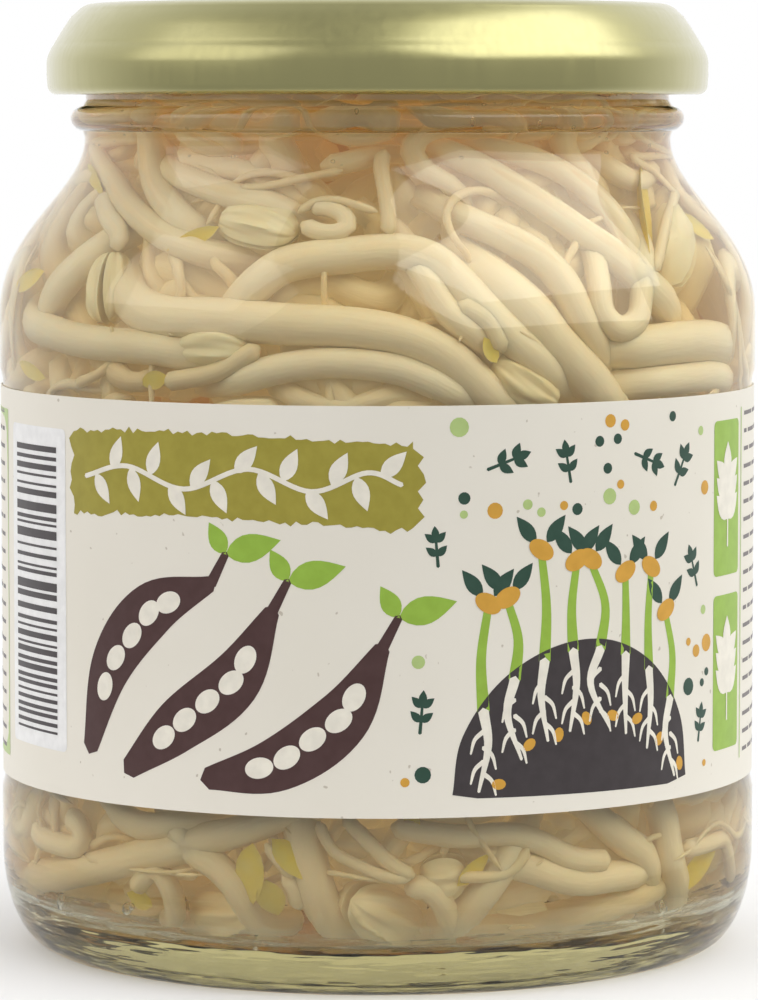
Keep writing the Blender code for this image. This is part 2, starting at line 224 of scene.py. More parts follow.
def softbox(name, azimuth, elevation, size, power, colour):
    """A rectangular lamp that faces the jar's shoulder."""
    lamp = bpy.data.lights.new(name, "AREA")
    lamp.shape = "RECTANGLE"
    lamp.size, lamp.size_y = size
    lamp.energy = power
    lamp.color = colour
    box = bpy.data.objects.new(name, lamp)
    box.location = SHOULDER + LAMP_DISTANCE * direction(azimuth, elevation)
    box.rotation_euler = (SHOULDER - box.location).to_track_quat("-Z", "Y").to_euler()
    box.visible_camera = False
    scene.collection.objects.link(box)
    return box


def only_seen_by(box, diffuse, glossy):
    """Let a lamp light rough surfaces, or show as a highlight in smooth ones."""
    box.data.cycles.use_multiple_importance_sampling = glossy
    box.visible_diffuse = diffuse
    box.visible_glossy = glossy
    box.visible_transmission = glossy


SOFTBOXES = {                   # azimuth, elevation, (width, height) in metres, light, highlight, colour
    "right": (65.0, 46.0, (1.17, 0.75), 6.0, 5.8, (1.0, 0.985, 0.97)),
    "left": (-66.0, 33.0, (0.80, 0.68), 3.2, 1.9, (1.0, 0.96, 0.95)),
}
for side_name, (azimuth, elevation, size, light, highlight, colour) in SOFTBOXES.items():
    only_seen_by(softbox("softbox_" + side_name, azimuth, elevation, size, light, colour), True, False)
    only_seen_by(softbox("glint_" + side_name, azimuth, elevation, size, highlight, colour), False, True)

# %% [markdown]
# ## Surroundings
# Glass and lacquer also mirror everything that isn't a lamp. The surroundings are white behind the jar,
# where light comes through it, and dimmer in front, so that the front of the glass stays clear. Where
# nothing stands in the picture, the camera sees plain white.

# %% Surroundings
world = bpy.data.worlds.new("surroundings")
world.use_nodes = True
world_tree = world.node_tree
surroundings = world_tree.nodes["Background"]
backdrop_ray = world_tree.nodes.new("ShaderNodeLightPath")
direction_of_ray = world_tree.nodes.new("ShaderNodeTexCoord")
axes = world_tree.nodes.new("ShaderNodeSeparateXYZ")
world_tree.links.new(direction_of_ray.outputs["Generated"], axes.inputs["Vector"])
room_light = world_tree.nodes.new("ShaderNodeMapRange")
DIM_IN_FRONT, WHITE_BEHIND, SEEN_BY_CAMERA = 0.45, 1.05, 1.0
for key, value in (("From Min", -0.1), ("From Max", 0.7), ("To Min", DIM_IN_FRONT), ("To Max", WHITE_BEHIND)):
    room_light.inputs[key].default_value = value
world_tree.links.new(axes.outputs["Y"], room_light.inputs["Value"])
brightness = world_tree.nodes.new("ShaderNodeMapRange")
brightness.inputs["To Max"].default_value = SEEN_BY_CAMERA
world_tree.links.new(room_light.outputs["Result"], brightness.inputs["To Min"])
surroundings.inputs["Color"].default_value = (1.0, 1.0, 1.0, 1.0)
world_tree.links.new(backdrop_ray.outputs["Is Camera Ray"], brightness.inputs["Value"])
world_tree.links.new(brightness.outputs["Result"], surroundings.inputs["Strength"])
scene.world = world
print("surroundings from", DIM_IN_FRONT, "in front to", WHITE_BEHIND, "behind")

# %% [markdown]
# ## Floor
# The jar stands on a pale sheet. Close to the jar the sheet catches its soft shadow, and further out it
# turns see-through, so that it fades into the white surroundings and shows no edge from any side.

# %% Floor
FLOOR_HALF = 0.5
FADE_FROM, FADE_TO = 0.03, 0.11
floor_mesh = bpy.data.meshes.new("floor")
floor_corners = [(-FLOOR_HALF, -FLOOR_HALF, 0), (FLOOR_HALF, -FLOOR_HALF, 0),
                 (FLOOR_HALF, FLOOR_HALF, 0), (-FLOOR_HALF, FLOOR_HALF, 0)]
floor_mesh.from_pydata(floor_corners, [], [(0, 1, 2, 3)])
floor_paint = Finish("pale floor")
floor_paint.look(Base_Color=(0.97, 0.97, 0.965), Roughness=0.8)
from_jar = floor_paint.add("ShaderNodeVectorMath", {"operation": "LENGTH"}, n0=floor_paint.place())
fade = floor_paint.span(from_jar.outputs["Value"], FADE_FROM, FADE_TO)
nothing = floor_paint.add("ShaderNodeBsdfTransparent").outputs["BSDF"]
faded = floor_paint.add("ShaderNodeMixShader", Fac=fade, n1=floor_paint.shader.outputs["BSDF"], n2=nothing)
floor_paint.tree.links.new(faded.outputs["Shader"], floor_paint.output.inputs["Surface"])
floor_mesh.materials.append(floor_paint.material)
floor = bpy.data.objects.new("floor", floor_mesh)
scene.collection.objects.link(floor)
floor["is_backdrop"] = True
print("floor fades out", FADE_TO, "m from the jar's axis")

# %% [markdown]
# ## Helpers for round pieces
# Most of the jar is round. A round piece is an outline turned about the axis, so one helper takes the
# outline as points of radius and height and closes it on the axis or on itself. An extra function may
# push the radius out by an amount that depends on the angle, which is how a thread climbs round a neck.

# %% Helpers for outlines and turned meshes
def polar(angle, radius, height):
    """A point at an angle in degrees from the front of the jar, anticlockwise seen from above."""
    turn = math.radians(angle)
    return Vector((radius * math.sin(turn), -radius * math.cos(turn), height))


def arc(centre, radii, start, end, steps):
    """Points on an ellipse's arc in the outline's plane, from one angle in degrees to another."""
    turns = np.radians(np.linspace(start, end, steps + 1))
    return [(centre[0] + radii[0] * math.cos(t), centre[1] + radii[1] * math.sin(t)) for t in turns]


def s_curve(start, end, start_pull, end_pull, steps):
    """A cubic curve that leaves its start straight up and reaches its end the same way."""
    handles = [start, (start[0], start[1] + start_pull), (end[0], end[1] - end_pull), end]
    points = []
    for t in np.linspace(0.0, 1.0, steps + 1):
        weights = [(1 - t) ** 3, 3 * t * (1 - t) ** 2, 3 * t * t * (1 - t), t ** 3]
        points.append(tuple(sum(w * h[axis] for w, h in zip(weights, handles)) for axis in (0, 1)))
    return points


def straight(start, end, steps):
    """Points on a straight line, without its first point."""
    return [(start[0] + (end[0] - start[0]) * s / steps, start[1] + (end[1] - start[1]) * s / steps)
            for s in range(1, steps + 1)]


def new_piece(name, vertices, faces, smooth_angle=40.0):
    """A shown mesh object at the origin, shaded smooth except across sharp edges."""
    mesh = bpy.data.meshes.new(name)
    mesh.from_pydata([tuple(v) for v in vertices], [], faces)
    mesh.validate()
    mesh.shade_smooth()
    mesh.set_sharp_from_angle(angle=math.radians(smooth_angle))
    piece = bpy.data.objects.new(name, mesh)
    scene.collection.objects.link(piece)
    return piece


def turned(name, outline, steps, closed=False, push=None, smooth_angle=40.0):
    """Turn an outline round the axis. It runs down the outer side. An end at radius 0 becomes one point."""
    vertices, rings = [], []
    for radius, height in outline:
        if radius < 0.001 * MM:
            rings.append([len(vertices)] * steps)
            vertices.append((0.0, 0.0, height))
            continue
        rings.append(list(range(len(vertices), len(vertices) + steps)))
        for step in range(steps):
            angle = 360.0 * step / steps
            extra = push(angle, radius, height) if push else 0.0
            vertices.append(polar(angle, radius + extra, height))
    faces = []
    pairs = list(zip(rings, rings[1:])) + ([(rings[-1], rings[0])] if closed else [])
    for upper, lower in pairs:
        for i in range(steps):
            j = (i + 1) % steps
            corners = [upper[i], lower[i], lower[j], upper[j]]
            face = tuple(dict.fromkeys(corners))
            if len(face) > 2:
                faces.append(face)
    return new_piece(name, vertices, faces, smooth_angle)


# %% [markdown]
# ## The glass jar
# The real jar is pressed and blown in a mould in one piece. Its wall is about three millimetres thick,
# and thicker at the heel. Turning one outline that runs up the inside, over the rim and down the outside
# gives both walls, so light bends at each, as in real glass. The thread ridges are raised on the neck by
# a formula.

# %% Sizes of the jar
BODY_RADIUS = 40.0 * MM
PANEL_RADIUS = 39.72 * MM       # the label lies in this shallow recess
BORE_RADIUS = 36.9 * MM
NECK_RADIUS = 30.94 * MM
NECK_BORE = 28.3 * MM
FINISH_RADIUS = 30.8 * MM
RIM_HEIGHT = 97.3 * MM
BEAD_HEIGHT = 87.3 * MM
SHOULDER_TOP = 85.3 * MM
SHOULDER_FOOT = 66.8 * MM
HEEL_HEIGHT = 10.5 * MM
FOOT_RADIUS = 35.0 * MM
FLOOR_HEIGHT = 4.6 * MM
LABEL_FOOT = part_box("label")[0][2]
LABEL_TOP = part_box("label")[1][2]
ROUND = 192
print("label from", round(LABEL_FOOT / MM, 2), "to", round(LABEL_TOP / MM, 2), "mm")


# %% Outline of the inside
def inner_wall(gap, top, detail=3):
    """The jar's inside from the middle of its floor up to a height, moved in by a gap."""
    heel = (8.0 * MM, 8.4 * MM)
    centre = (BORE_RADIUS - heel[0], FLOOR_HEIGHT + heel[1])
    crown = 1.0 * MM
    wall = [(0.0, FLOOR_HEIGHT + crown + gap), (10.0 * MM, FLOOR_HEIGHT + 0.93 * crown + gap),
            (20.0 * MM, FLOOR_HEIGHT + 0.6 * crown + gap)]
    wall += arc(centre, (heel[0] - gap, heel[1] - gap), -90.0, 0.0, 4 * detail)
    bottom = (BORE_RADIUS - gap, SHOULDER_FOOT - 1.2 * MM)
    neck = (NECK_BORE - gap, SHOULDER_TOP - 0.9 * MM)
    wall += straight(wall[-1], bottom, 3 * detail)
    wall += s_curve(bottom, neck, 6.0 * MM, 5.0 * MM, 7 * detail)[1:]
    return wall + straight(wall[-1], (NECK_BORE - gap, top), 2 * detail)


# %% Outline of the whole wall, and the thread
RIDGES = 4
RIDGE_LOW_ANGLE = -42.0
RIDGE_SPAN = 74.0
RIDGE_LOW_HEIGHT = 89.65 * MM
RIDGE_RISE = 0.052 * MM         # for each degree
RIDGE_DEPTH = 1.5 * MM
RIDGE_BULGE = 1.15 * MM


def thread(angle, radius, height):
    """How far the thread ridges stand out of the neck's outer wall."""
    if radius < FINISH_RADIUS - 0.3 * MM or height < RIDGE_LOW_HEIGHT - 0.2 * MM:
        return 0.0
    along = (angle - RIDGE_LOW_ANGLE) % (360.0 / RIDGES)
    if along > RIDGE_SPAN:
        return 0.0
    middle = RIDGE_LOW_HEIGHT + RIDGE_RISE * along + RIDGE_DEPTH / 2
    across = (height - middle) / (RIDGE_DEPTH / 2)
    if abs(across) >= 1.0:
        return 0.0
    ends = min(1.0, along / 6.0, (RIDGE_SPAN - along) / 6.0)
    return RIDGE_BULGE * math.sqrt(1.0 - across ** 2) * math.sqrt(max(ends, 0.0))


rim_half = (FINISH_RADIUS - NECK_BORE) / 2
rim_round = 1.1 * MM
rim = arc((NECK_BORE + rim_half, RIM_HEIGHT - rim_round), (rim_half, rim_round), 180.0, 0.0, 12)
outside = straight(rim[-1], (FINISH_RADIUS, BEAD_HEIGHT + 1.9 * MM), 44)
outside += arc((NECK_RADIUS - 0.1 * MM, BEAD_HEIGHT), (1.55 * MM, 1.35 * MM), 78.0, -78.0, 12)
shoulder = s_curve((BODY_RADIUS, SHOULDER_FOOT), (NECK_RADIUS, SHOULDER_TOP), 8.98 * MM, 5.65 * MM, 26)
outside += reversed(shoulder)
STEP = 0.9 * MM                 # the recess for the label begins this far from the label's edges
outside += [(BODY_RADIUS, LABEL_TOP + 2 * STEP), (PANEL_RADIUS + 0.05 * MM, LABEL_TOP + STEP),
            (PANEL_RADIUS, LABEL_TOP + 0.5 * STEP), (PANEL_RADIUS, LABEL_FOOT - 0.5 * STEP),
            (PANEL_RADIUS + 0.05 * MM, LABEL_FOOT - STEP), (BODY_RADIUS, LABEL_FOOT - 2 * STEP)]
outside += arc((FOOT_RADIUS, HEEL_HEIGHT), (BODY_RADIUS - FOOT_RADIUS, HEEL_HEIGHT), 0.0, -90.0, 20)
foot = [(32.0 * MM, 0.0), (31.2 * MM, 0.25 * MM), (30.4 * MM, 0.9 * MM), (29.2 * MM, 1.15 * MM),
        (20.0 * MM, 1.5 * MM), (10.0 * MM, 1.9 * MM), (0.0, 2.1 * MM)]
inside = inner_wall(0.0, RIM_HEIGHT - rim_round)[:-1]
jar = turned("glass_jar_fine", inside + rim + outside + foot, ROUND, push=thread)

# %% [markdown]
# ## Clear glass
# Jar glass is clear, and only its thick parts show a faint olive tint. A volume that absorbs light gives
# that by itself, because the tint grows with the way through the glass. Two soft bumps stand for the
# waves that a mould leaves: a faint one all over, and a stronger one that keeps to the base.

# %% Clear glass
BASE_WAVES_END = 10.0 * MM
glass = Finish("clear glass")
glass.look(Base_Color=(0.985, 0.995, 0.985), Roughness=0.0, IOR=1.5)
glass.shader.inputs["Transmission Weight"].default_value = 1.0
glass_waves = glass.noise(55.0, 2.0)
height_up = glass.add("ShaderNodeSeparateXYZ", Vector=glass.place()).outputs["Z"]
drawn_out = glass.add("ShaderNodeMapping", Vector=glass.place(), Scale=(1.0, 1.0, 9.0)).outputs["Vector"]
base_waves = glass.add("ShaderNodeMath", {"operation": "MULTIPLY"}, n0=glass.noise(85.0, 2.0, drawn_out),
                       n1=glass.span(height_up, 4.0 * MM, BASE_WAVES_END, 1.0, 0.0)).outputs["Value"]
glass.look(Normal=glass.add("ShaderNodeBump", Strength=0.30, Distance=0.0006, Height=base_waves,
                            Normal=glass.bump(glass_waves, 0.12, 0.0006)).outputs["Normal"])
glass_tint = glass.add("ShaderNodeVolumeAbsorption", Color=(0.75, 0.71, 0.45, 1.0), Density=40.0)
glass.tree.links.new(glass_tint.outputs["Volume"], glass.output.inputs["Volume"])
glass.let_light_through((0.96, 0.97, 0.96))
wear(jar, glass, "jar", "clear_glass", "glass_jar")

# %% [markdown]
# ## The lid
# The lid is pressed from one disc of thin steel: a raised channel round a sunk panel, a sloping side with
# a crease, an upright skirt and a rolled edge with four lugs. It is turned from an outline too.

# %% Outline of the lid
LID_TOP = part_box("lid")[1][2]
LID_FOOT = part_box("lid")[0][2]
LID_RADIUS = 34.9 * MM
SHEET = 0.3 * MM


def from_top(*points):
    """Points of the lid's outline, given as radius and depth below its top in mm."""
    return [(radius * MM, LID_TOP - depth * MM) for radius, depth in points]


button = from_top((0.0, 0.5), (4.0, 0.5), (8.0, 0.52), (8.5, 0.56), (9.0, 0.68), (9.6, 0.85), (10.3, 0.9))
panel = from_top((18.0, 0.9), (24.8, 0.9), (25.5, 0.82), (26.1, 0.45), (26.7, 0.08), (27.3, 0.0))
lid_outline = button + panel
lid_outline += straight(lid_outline[-1], (29.9 * MM, LID_TOP), 2)
lid_outline += arc((29.9 * MM, LID_TOP - 1.9 * MM), (2.15 * MM, 1.9 * MM), 84.0, 34.0, 7)
lid_outline += from_top((32.25, 1.3), (33.1, 2.55), (33.85, 3.75), (34.02, 4.05), (34.12, 4.25), (34.3, 4.5),
                        (34.5, 4.85), (34.7, 5.3), (34.84, 5.75), (34.9, 6.2), (34.9, 7.5), (34.86, 8.0))
lid_outline += arc((LID_RADIUS - 1.05 * MM, LID_FOOT + 1.0 * MM), (0.98 * MM, 1.0 * MM), 0.0, -180.0, 14)
lid_outline += [(32.95 * MM, LID_FOOT + 1.5 * MM), (33.6 * MM, LID_FOOT + 1.9 * MM),
                (LID_RADIUS - SHEET, LID_FOOT + 2.3 * MM), (LID_RADIUS - SHEET, LID_TOP - 6.2 * MM)]
lid_outline += from_top((34.4, 5.3), (33.6, 4.1), (32.0, 1.5), (31.2, 0.7), (29.9, 0.3), (27.4, 0.3),
                        (25.6, 1.2), (10.2, 1.2), (8.6, 0.8), (0.0, 0.8))
print("points round the lid's outline", len(lid_outline))

# %% Lugs
LUG_OFFSET = 25.0               # degrees from a ridge's low end to the lug that grips it
LUG_HALF_SPAN = 4.5
LUG_DEPTH = 1.55 * MM


def lug(angle, radius, height):
    """The rolled edge is pressed inwards at each lug."""
    if height > LID_FOOT + 1.6 * MM or radius > LID_RADIUS - 0.95 * MM:
        return 0.0
    middle = RIDGE_LOW_ANGLE + LUG_OFFSET
    off = (angle - middle + 45.0) % (360.0 / RIDGES) - 45.0
    press = max(0.0, 1.0 - (off / (LUG_HALF_SPAN + 1.5)) ** 4)
    near_top = max(0.0, min(1.0, (LID_FOOT + 1.1 * MM - height) / (0.5 * MM)))
    return -LUG_DEPTH * press * near_top


lid = turned("lid_fine", lid_outline, 256, push=lug, smooth_angle=50.0)

# %% [markdown]
# ## Gold lacquer
# The steel carries a thin golden lacquer, so it shines like metal under a clear coat. Rolled steel has a
# fine grain along the sheet. Here a fine noise, drawn out along the height, makes the roughness and the
# relief vary a little, and the coat is slightly rough too, so the lamps show as soft highlights.

# %% Gold lacquer on fine-grained steel
gold = Finish("gold lacquer")
gold_streaks = gold.add("ShaderNodeMapping", Vector=gold.place(), Scale=(1.0, 1.0, 0.12)).outputs["Vector"]
gold_grain = gold.noise(1400.0, 2.0, gold_streaks)
gold_cloud = gold.noise(14.0, 1.0)
gold.look(Base_Color=gold.ramp(gold_cloud, [(0.3, (0.45, 0.425, 0.18)), (0.7, (0.52, 0.485, 0.215))]),
          Metallic=1.0, Roughness=gold.span(gold_grain, 0.3, 0.7, 0.29, 0.38),
          Normal=gold.bump(gold_grain, 0.05, 0.00004))
gold.shader.inputs["Coat Weight"].default_value = 1.0
gold.shader.inputs["Coat Roughness"].default_value = 0.22
wear(lid, gold, "cap", "gold_lacquer", "lid")

# %% [markdown]
# ## The sealing ring
# Under the lid's channel lies a ring of soft compound, which seals the jar. The glass rim presses a
# groove into it, so its outline dips in the middle. It shows only when the lid is off or seen through the
# glass, so a plain turned ring with a mottled, dull surface is enough.

# %% Sealing ring
ring_low, ring_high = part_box("sealing_ring")
RING_IN, RING_OUT = 27.9 * MM, 30.5 * MM
ring_outline = [(RING_IN + 0.2 * MM, ring_high[2]), (RING_OUT - 0.2 * MM, ring_high[2]),
                (RING_OUT, ring_high[2] - 0.2 * MM), (RING_OUT, ring_low[2] + 0.25 * MM),
                (RING_OUT - 0.3 * MM, ring_low[2]), (29.9 * MM, ring_low[2] + 0.02 * MM),
                (29.3 * MM, ring_low[2] + 0.16 * MM), (28.7 * MM, ring_low[2] + 0.02 * MM),
                (RING_IN + 0.3 * MM, ring_low[2]), (RING_IN, ring_low[2] + 0.25 * MM),
                (RING_IN, ring_high[2] - 0.2 * MM)]
seal = turned("sealing_ring_fine", ring_outline, 128, closed=True, smooth_angle=60.0)
compound = Finish("soft compound")
compound_mottle = compound.noise(300.0, 3.0)
compound_tone = compound.ramp(compound_mottle, [(0.3, (0.72, 0.68, 0.58)), (0.7, (0.82, 0.79, 0.70))])
compound.look(Base_Color=compound_tone, Roughness=0.55, Normal=compound.bump(compound_mottle, 0.15, 0.0002))
wear(seal, compound, "cap", "seal_compound", "sealing_ring")

# %% [markdown]
# ## The brine
# The liquid fills the jar up into the neck. In a render, glass and liquid that only touch leave a film of
# air between them, which reflects like a mirror. So the liquid reaches a little way into the glass.

# %% Body of liquid
BRINE_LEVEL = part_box("brine")[1][2]
OVERLAP = 0.08 * MM
brine_outline = inner_wall(-OVERLAP, BRINE_LEVEL + 0.25 * MM)
brine_top = [(NECK_BORE - 0.6 * MM, BRINE_LEVEL + 0.04 * MM), (NECK_BORE - 1.6 * MM, BRINE_LEVEL - 0.02 * MM),
             (14.0 * MM, BRINE_LEVEL - 0.05 * MM), (0.0, BRINE_LEVEL - 0.05 * MM)]
brine = turned("brine_fine", list(reversed(brine_outline + brine_top)), 128)
print("liquid up to", round(BRINE_LEVEL / MM, 1), "mm")

# %% [markdown]
# ## Golden brine
# The brine has taken its colour from the sprouts. Like the glass, it is a clear shader with a volume that
# takes out more blue than red, so what lies deeper looks more golden. A slow noise makes its surface tint
# uneven, as in a liquid that hasn't been stirred.

# %% Golden brine
liquid = Finish("golden brine")
liquid_cloud = liquid.noise(30.0, 2.0)
liquid_tone = liquid.ramp(liquid_cloud, [(0.3, (1.0, 0.985, 0.95)), (0.7, (0.99, 0.965, 0.90))])
liquid.look(Base_Color=liquid_tone, Roughness=0.0, IOR=1.34)
liquid.shader.inputs["Transmission Weight"].default_value = 1.0
liquid_tint = liquid.add("ShaderNodeVolumeAbsorption", Color=(0.92, 0.70, 0.28, 1.0), Density=44.0)
liquid.tree.links.new(liquid_tint.outputs["Volume"], liquid.output.inputs["Volume"])
liquid.let_light_through((1.0, 1.0, 1.0))
wear(brine, liquid, "jar", "brine", "brine")

# %% [markdown]
# ## How the sprouts lie
# Hundreds of sprouts are packed so tightly that no hand could place them. Each one is a chain of points
# with a thickness. The chains start in loose curves all over the jar. Then a small solver pushes apart
# what overlaps, keeps each chain's length, and holds everything inside the glass, until the sprouts lie
# against each other.

# %% Sizes of a sprout
LINK = 3.0 * MM                 # distance between the points along a stem
HOOK_LINK = 2.0 * MM            # and round the hook under the bean
STEM_HALF = 1.55 * MM           # half the thickness of a usual stem
NECK_HALF = 1.0 * MM
ROOT_HALF = 0.45 * MM
BEAN_HALF = (2.0 * MM, 2.6 * MM, 2.1 * MM)
LOOSE_SPROUTS = 430
SPROUT_TOP = 90.5 * MM
STEM_CLEAR = 0.12 * MM          # how far stems stay off the glass
chance = np.random.default_rng(11)
stem_room = np.array(inner_wall(STEM_HALF + STEM_CLEAR, SPROUT_TOP + 5 * MM, 6))
floor_points = stem_room[stem_room[:, 1] < 14.0 * MM]
wall_points = stem_room[stem_room[:, 0] > 20.0 * MM]
print("room for stems up to radius", round(stem_room[:, 0].max() / MM, 1), "mm")


# %% Keep points inside the glass
def room(heights):
    """How far from the axis the middle of a usual stem can lie at each height."""
    return np.interp(heights, wall_points[:, 1], wall_points[:, 0])


def hold_inside(points, half):
    """Move points back inside the glass, off its floor and under the liquid's top."""
    spare = half - STEM_HALF
    distance = np.hypot(points[:, 0], points[:, 1])
    floor = np.interp(distance, floor_points[:, 0], floor_points[:, 1])
    points[:, 2] = np.clip(points[:, 2], floor + spare, SPROUT_TOP - half)
    limit = room(points[:, 2]) - spare
    over = distance > limit
    points[over, :2] *= (limit[over] / distance[over])[:, None]


# %% [markdown]
# ## Looking through the glass
# The sprouts at the front give the jar its own look, so their courses are written down, as the
# camera sees them. But the wall and the liquid act as a lens, which shifts what lies behind them, most of
# all at the shoulder. So each point is found by following the camera's view: it bends where it enters the
# glass, bends again where it enters the liquid, and stops at the depth where a stem's middle can lie.

# %% Follow the view through the wall
LENS_WIDTH = 0.07846            # half the jar's width over its distance, as the lens shows it
EYE_DISTANCE = 510.2 * MM       # from the camera to the jar's axis
READING_RADIUS = 38.0 * MM      # angles and heights in the photograph were read on this round
CLEAR_WAY = 0.45                # metres of open air in front of the jar that need no test
GLASS_BEND, BRINE_BEND = 1.5, 1.34
outer_face = np.array(sorted((height, radius) for radius, height in outside))
side_wall = [point for point in inner_wall(0.0, RIM_HEIGHT, 6) if point[0] > 20.0 * MM]
inner_face = np.array(sorted((height, radius) for radius, height in side_wall))
stem_face = np.array(sorted((height, radius) for radius, height in wall_points))


def first_inside(start, way, face):
    """Where a line of sight comes inside a face, given as heights and radii."""
    line = start + np.linspace(0.0, 90.0 * MM, 4000)[:, None] * way
    within = np.hypot(line[:, 0], line[:, 1]) < np.interp(line[:, 2], face[:, 0], face[:, 1])
    return line[np.argmax(within)] if within.any() else None


def bent(way, point, face, ratio):
    """The line of sight after it passes a face, by the law of refraction."""
    rise = 0.1 * MM
    slope = np.diff(np.interp([point[2] - rise, point[2] + rise], face[:, 0], face[:, 1]))[0] / (2 * rise)
    radial = np.array([point[0], point[1], 0.0]) / np.hypot(point[0], point[1])
    normal = (radial - np.array([0.0, 0.0, slope])) / math.hypot(1.0, slope)
    cosine = -way @ normal
    inner = math.sqrt(max(0.0, 1.0 - ratio ** 2 * (1.0 - cosine ** 2)))
    return ratio * way + (ratio * cosine - inner) * normal


def at_the_front(angle, height):
    """The place for the middle of a stem that the camera sees at an angle and a height of the jar."""
    turn = math.radians(angle)
    forward = READING_RADIUS * math.cos(turn)
    distance = EYE_DISTANCE - forward
    eye = np.array(CAMERA_PLACE)
    target = np.array([LENS_WIDTH * distance * math.sin(turn), -forward, height * MM])
    way = (target - eye) / np.linalg.norm(target - eye)
    point = eye + CLEAR_WAY * way
    for face, ratio in ((outer_face, 1.0 / GLASS_BEND), (inner_face, GLASS_BEND / BRINE_BEND)):
        point = first_inside(point, way, face)
        if point is None:
            break
        way = bent(way, point, face, ratio)
    if point is not None:
        point = first_inside(point, way, stem_face)
    if point is None:
        z = height * MM
        return np.array(polar(angle * 1.1, float(room(z)), z))
    return point


print("angle 40, height 79 is at", np.round(at_the_front(40, 79) / MM, 1))

# %% [markdown]
# ## The sprouts at the front
# Whoever looks at the jar sees only some fifty stems and beans well, the ones that lie against the glass
# in front. Chance wouldn't lay them as they are, so each has its own course here. A course is a few
# corners that a smooth curve goes through, given as the angle round the jar and the height, because those
# can be read off.

# %% Stems at the front
STEMS_IN_FRONT = [              # half thickness in mm, then (angle in degrees, height in mm) along the stem
    (0.95, [(-12, 76.5), (-8, 76), (-5, 76), (-4, 77.5), (-7, 79), (-10, 79)]),
    (1.75, [(-19, 70.5), (-13, 73.5), (-3, 74.5), (6, 74), (13, 71), (19, 66.5), (27, 63)]),
    (1.95, [(-42, 69), (-34, 67), (-19, 67), (-6, 67), (5, 66), (12, 63.5), (18, 60)]),
    (1.5, [(-21, 62.5), (-17, 63), (-6, 63.5), (6, 62.5), (13, 60.5)]),
    (1.7, [(-64, 66), (-50, 65), (-38, 65), (-31, 64.5)]),
    (0.95, [(-34, 61.5), (-29, 62), (-23, 63), (-20, 64), (-18, 65)]),
    (1.1, [(-46, 80), (-45, 78), (-44, 75), (-45, 73)]),
    (1.8, [(-60, 69), (-55, 71.5), (-51, 73)]),
    (1.4, [(-50, 89), (-49, 85), (-43, 80), (-37, 77), (-31, 75)]),
    (1.6, [(-38, 88), (-37, 84), (-35, 80), (-31, 77)]),
    (1.6, [(-33, 82), (-28, 81), (-22, 79.5), (-18, 78)]),
    (2.2, [(21, 69.5), (25, 67.5), (27, 64.5), (33, 62.5), (38, 59.5)]),
    (1.3, [(36, 71), (35, 68), (38, 66), (44, 66.5), (44, 70.5), (45, 73)]),
    (2.1, [(43, 64.5), (49, 64.8), (56, 64.5), (66, 64)]),
    (1.7, [(47, 60.5), (56, 60.5), (66, 61)]),
    (0.95, [(12, 69), (17, 68), (19, 66.5), (19, 64.5)]),
    (1.3, [(8, 72), (11, 69.5), (15, 66.5)]),
    (1.7, [(13, 83.5), (20, 81), (30, 77), (38, 74), (47, 70.5)]),
    (1.6, [(16, 77), (24, 74.5), (30, 71.5), (34, 68)]),
    (1.6, [(22, 84), (30, 82), (37, 79), (42, 75)]),
    (0.5, [(-21, 80), (-13, 81.5), (-5, 82.5)]),
    (0.5, [(-12, 78), (-9, 79.5), (-5, 79.5), (0, 78.5)]),
    (0.8, [(1, 84.5), (1, 81.5), (2, 76)]),
    (0.6, [(37, 86.5), (42, 85.5), (54, 83), (62, 80.5), (66, 77.5)]),
    (0.6, [(51, 80.5), (48, 76.5), (46, 72)]),
    (1.7, [(-71, 8), (-51, 11), (-33, 14), (-18, 17.5), (-11, 19)]),
    (1.1, [(-40, 9), (-37, 11), (-34, 10.5), (-32, 8.5), (-33, 6.5)]),
    (1.1, [(-32, 7), (-32, 5), (-30, 4), (-23, 5), (-18, 6)]),
    (1.2, [(-66, 14), (-63, 12), (-55, 12), (-51, 13.5), (-53, 15.5), (-56, 15.5)]),
    (1.5, [(-45, 18), (-40, 16), (-32, 16)]),
    (1.5, [(-32, 16), (-24, 12), (-20, 9)]),
    (0.6, [(-17, 15.5), (-13, 12)]),
    (0.9, [(-14, 11.5), (-10, 8.5)]),
    (1.9, [(-12, 18), (-11, 15), (-9, 9.5), (-5, 7), (-2, 4.5)]),
    (1.2, [(4, 9.5), (8, 10), (11, 9), (12, 7), (10, 6), (4, 6)]),
    (0.6, [(-9, 18), (-7, 15), (-4, 14), (1, 12.5), (5, 11)]),
    (0.8, [(-5, 18.5), (0, 15), (5, 11.5)]),
    (1.2, [(2, 17.5), (15, 16.5), (25, 15), (31, 13), (38, 12)]),
    (1.5, [(7, 4.5), (15, 5.5), (29, 7.5), (45, 9)]),
    (1.6, [(15, 9.5), (21, 14)]),
    (1.6, [(21, 13.5), (34, 11), (43, 11)]),
    (1.8, [(50, 17), (51, 14.5), (52, 10), (48, 4)]),
    (1.6, [(34, 18.5), (39, 15.5), (45, 12)]),
    (0.95, [(54, 12.5), (57, 12.5), (66, 10.5), (69, 8.5)]),
    (0.6, [(12, 9), (18, 11.5), (23, 15)]),
    (0.6, [(25, 4), (33, 5), (42, 6.5)]),
]
print("stems at the front", len(STEMS_IN_FRONT))

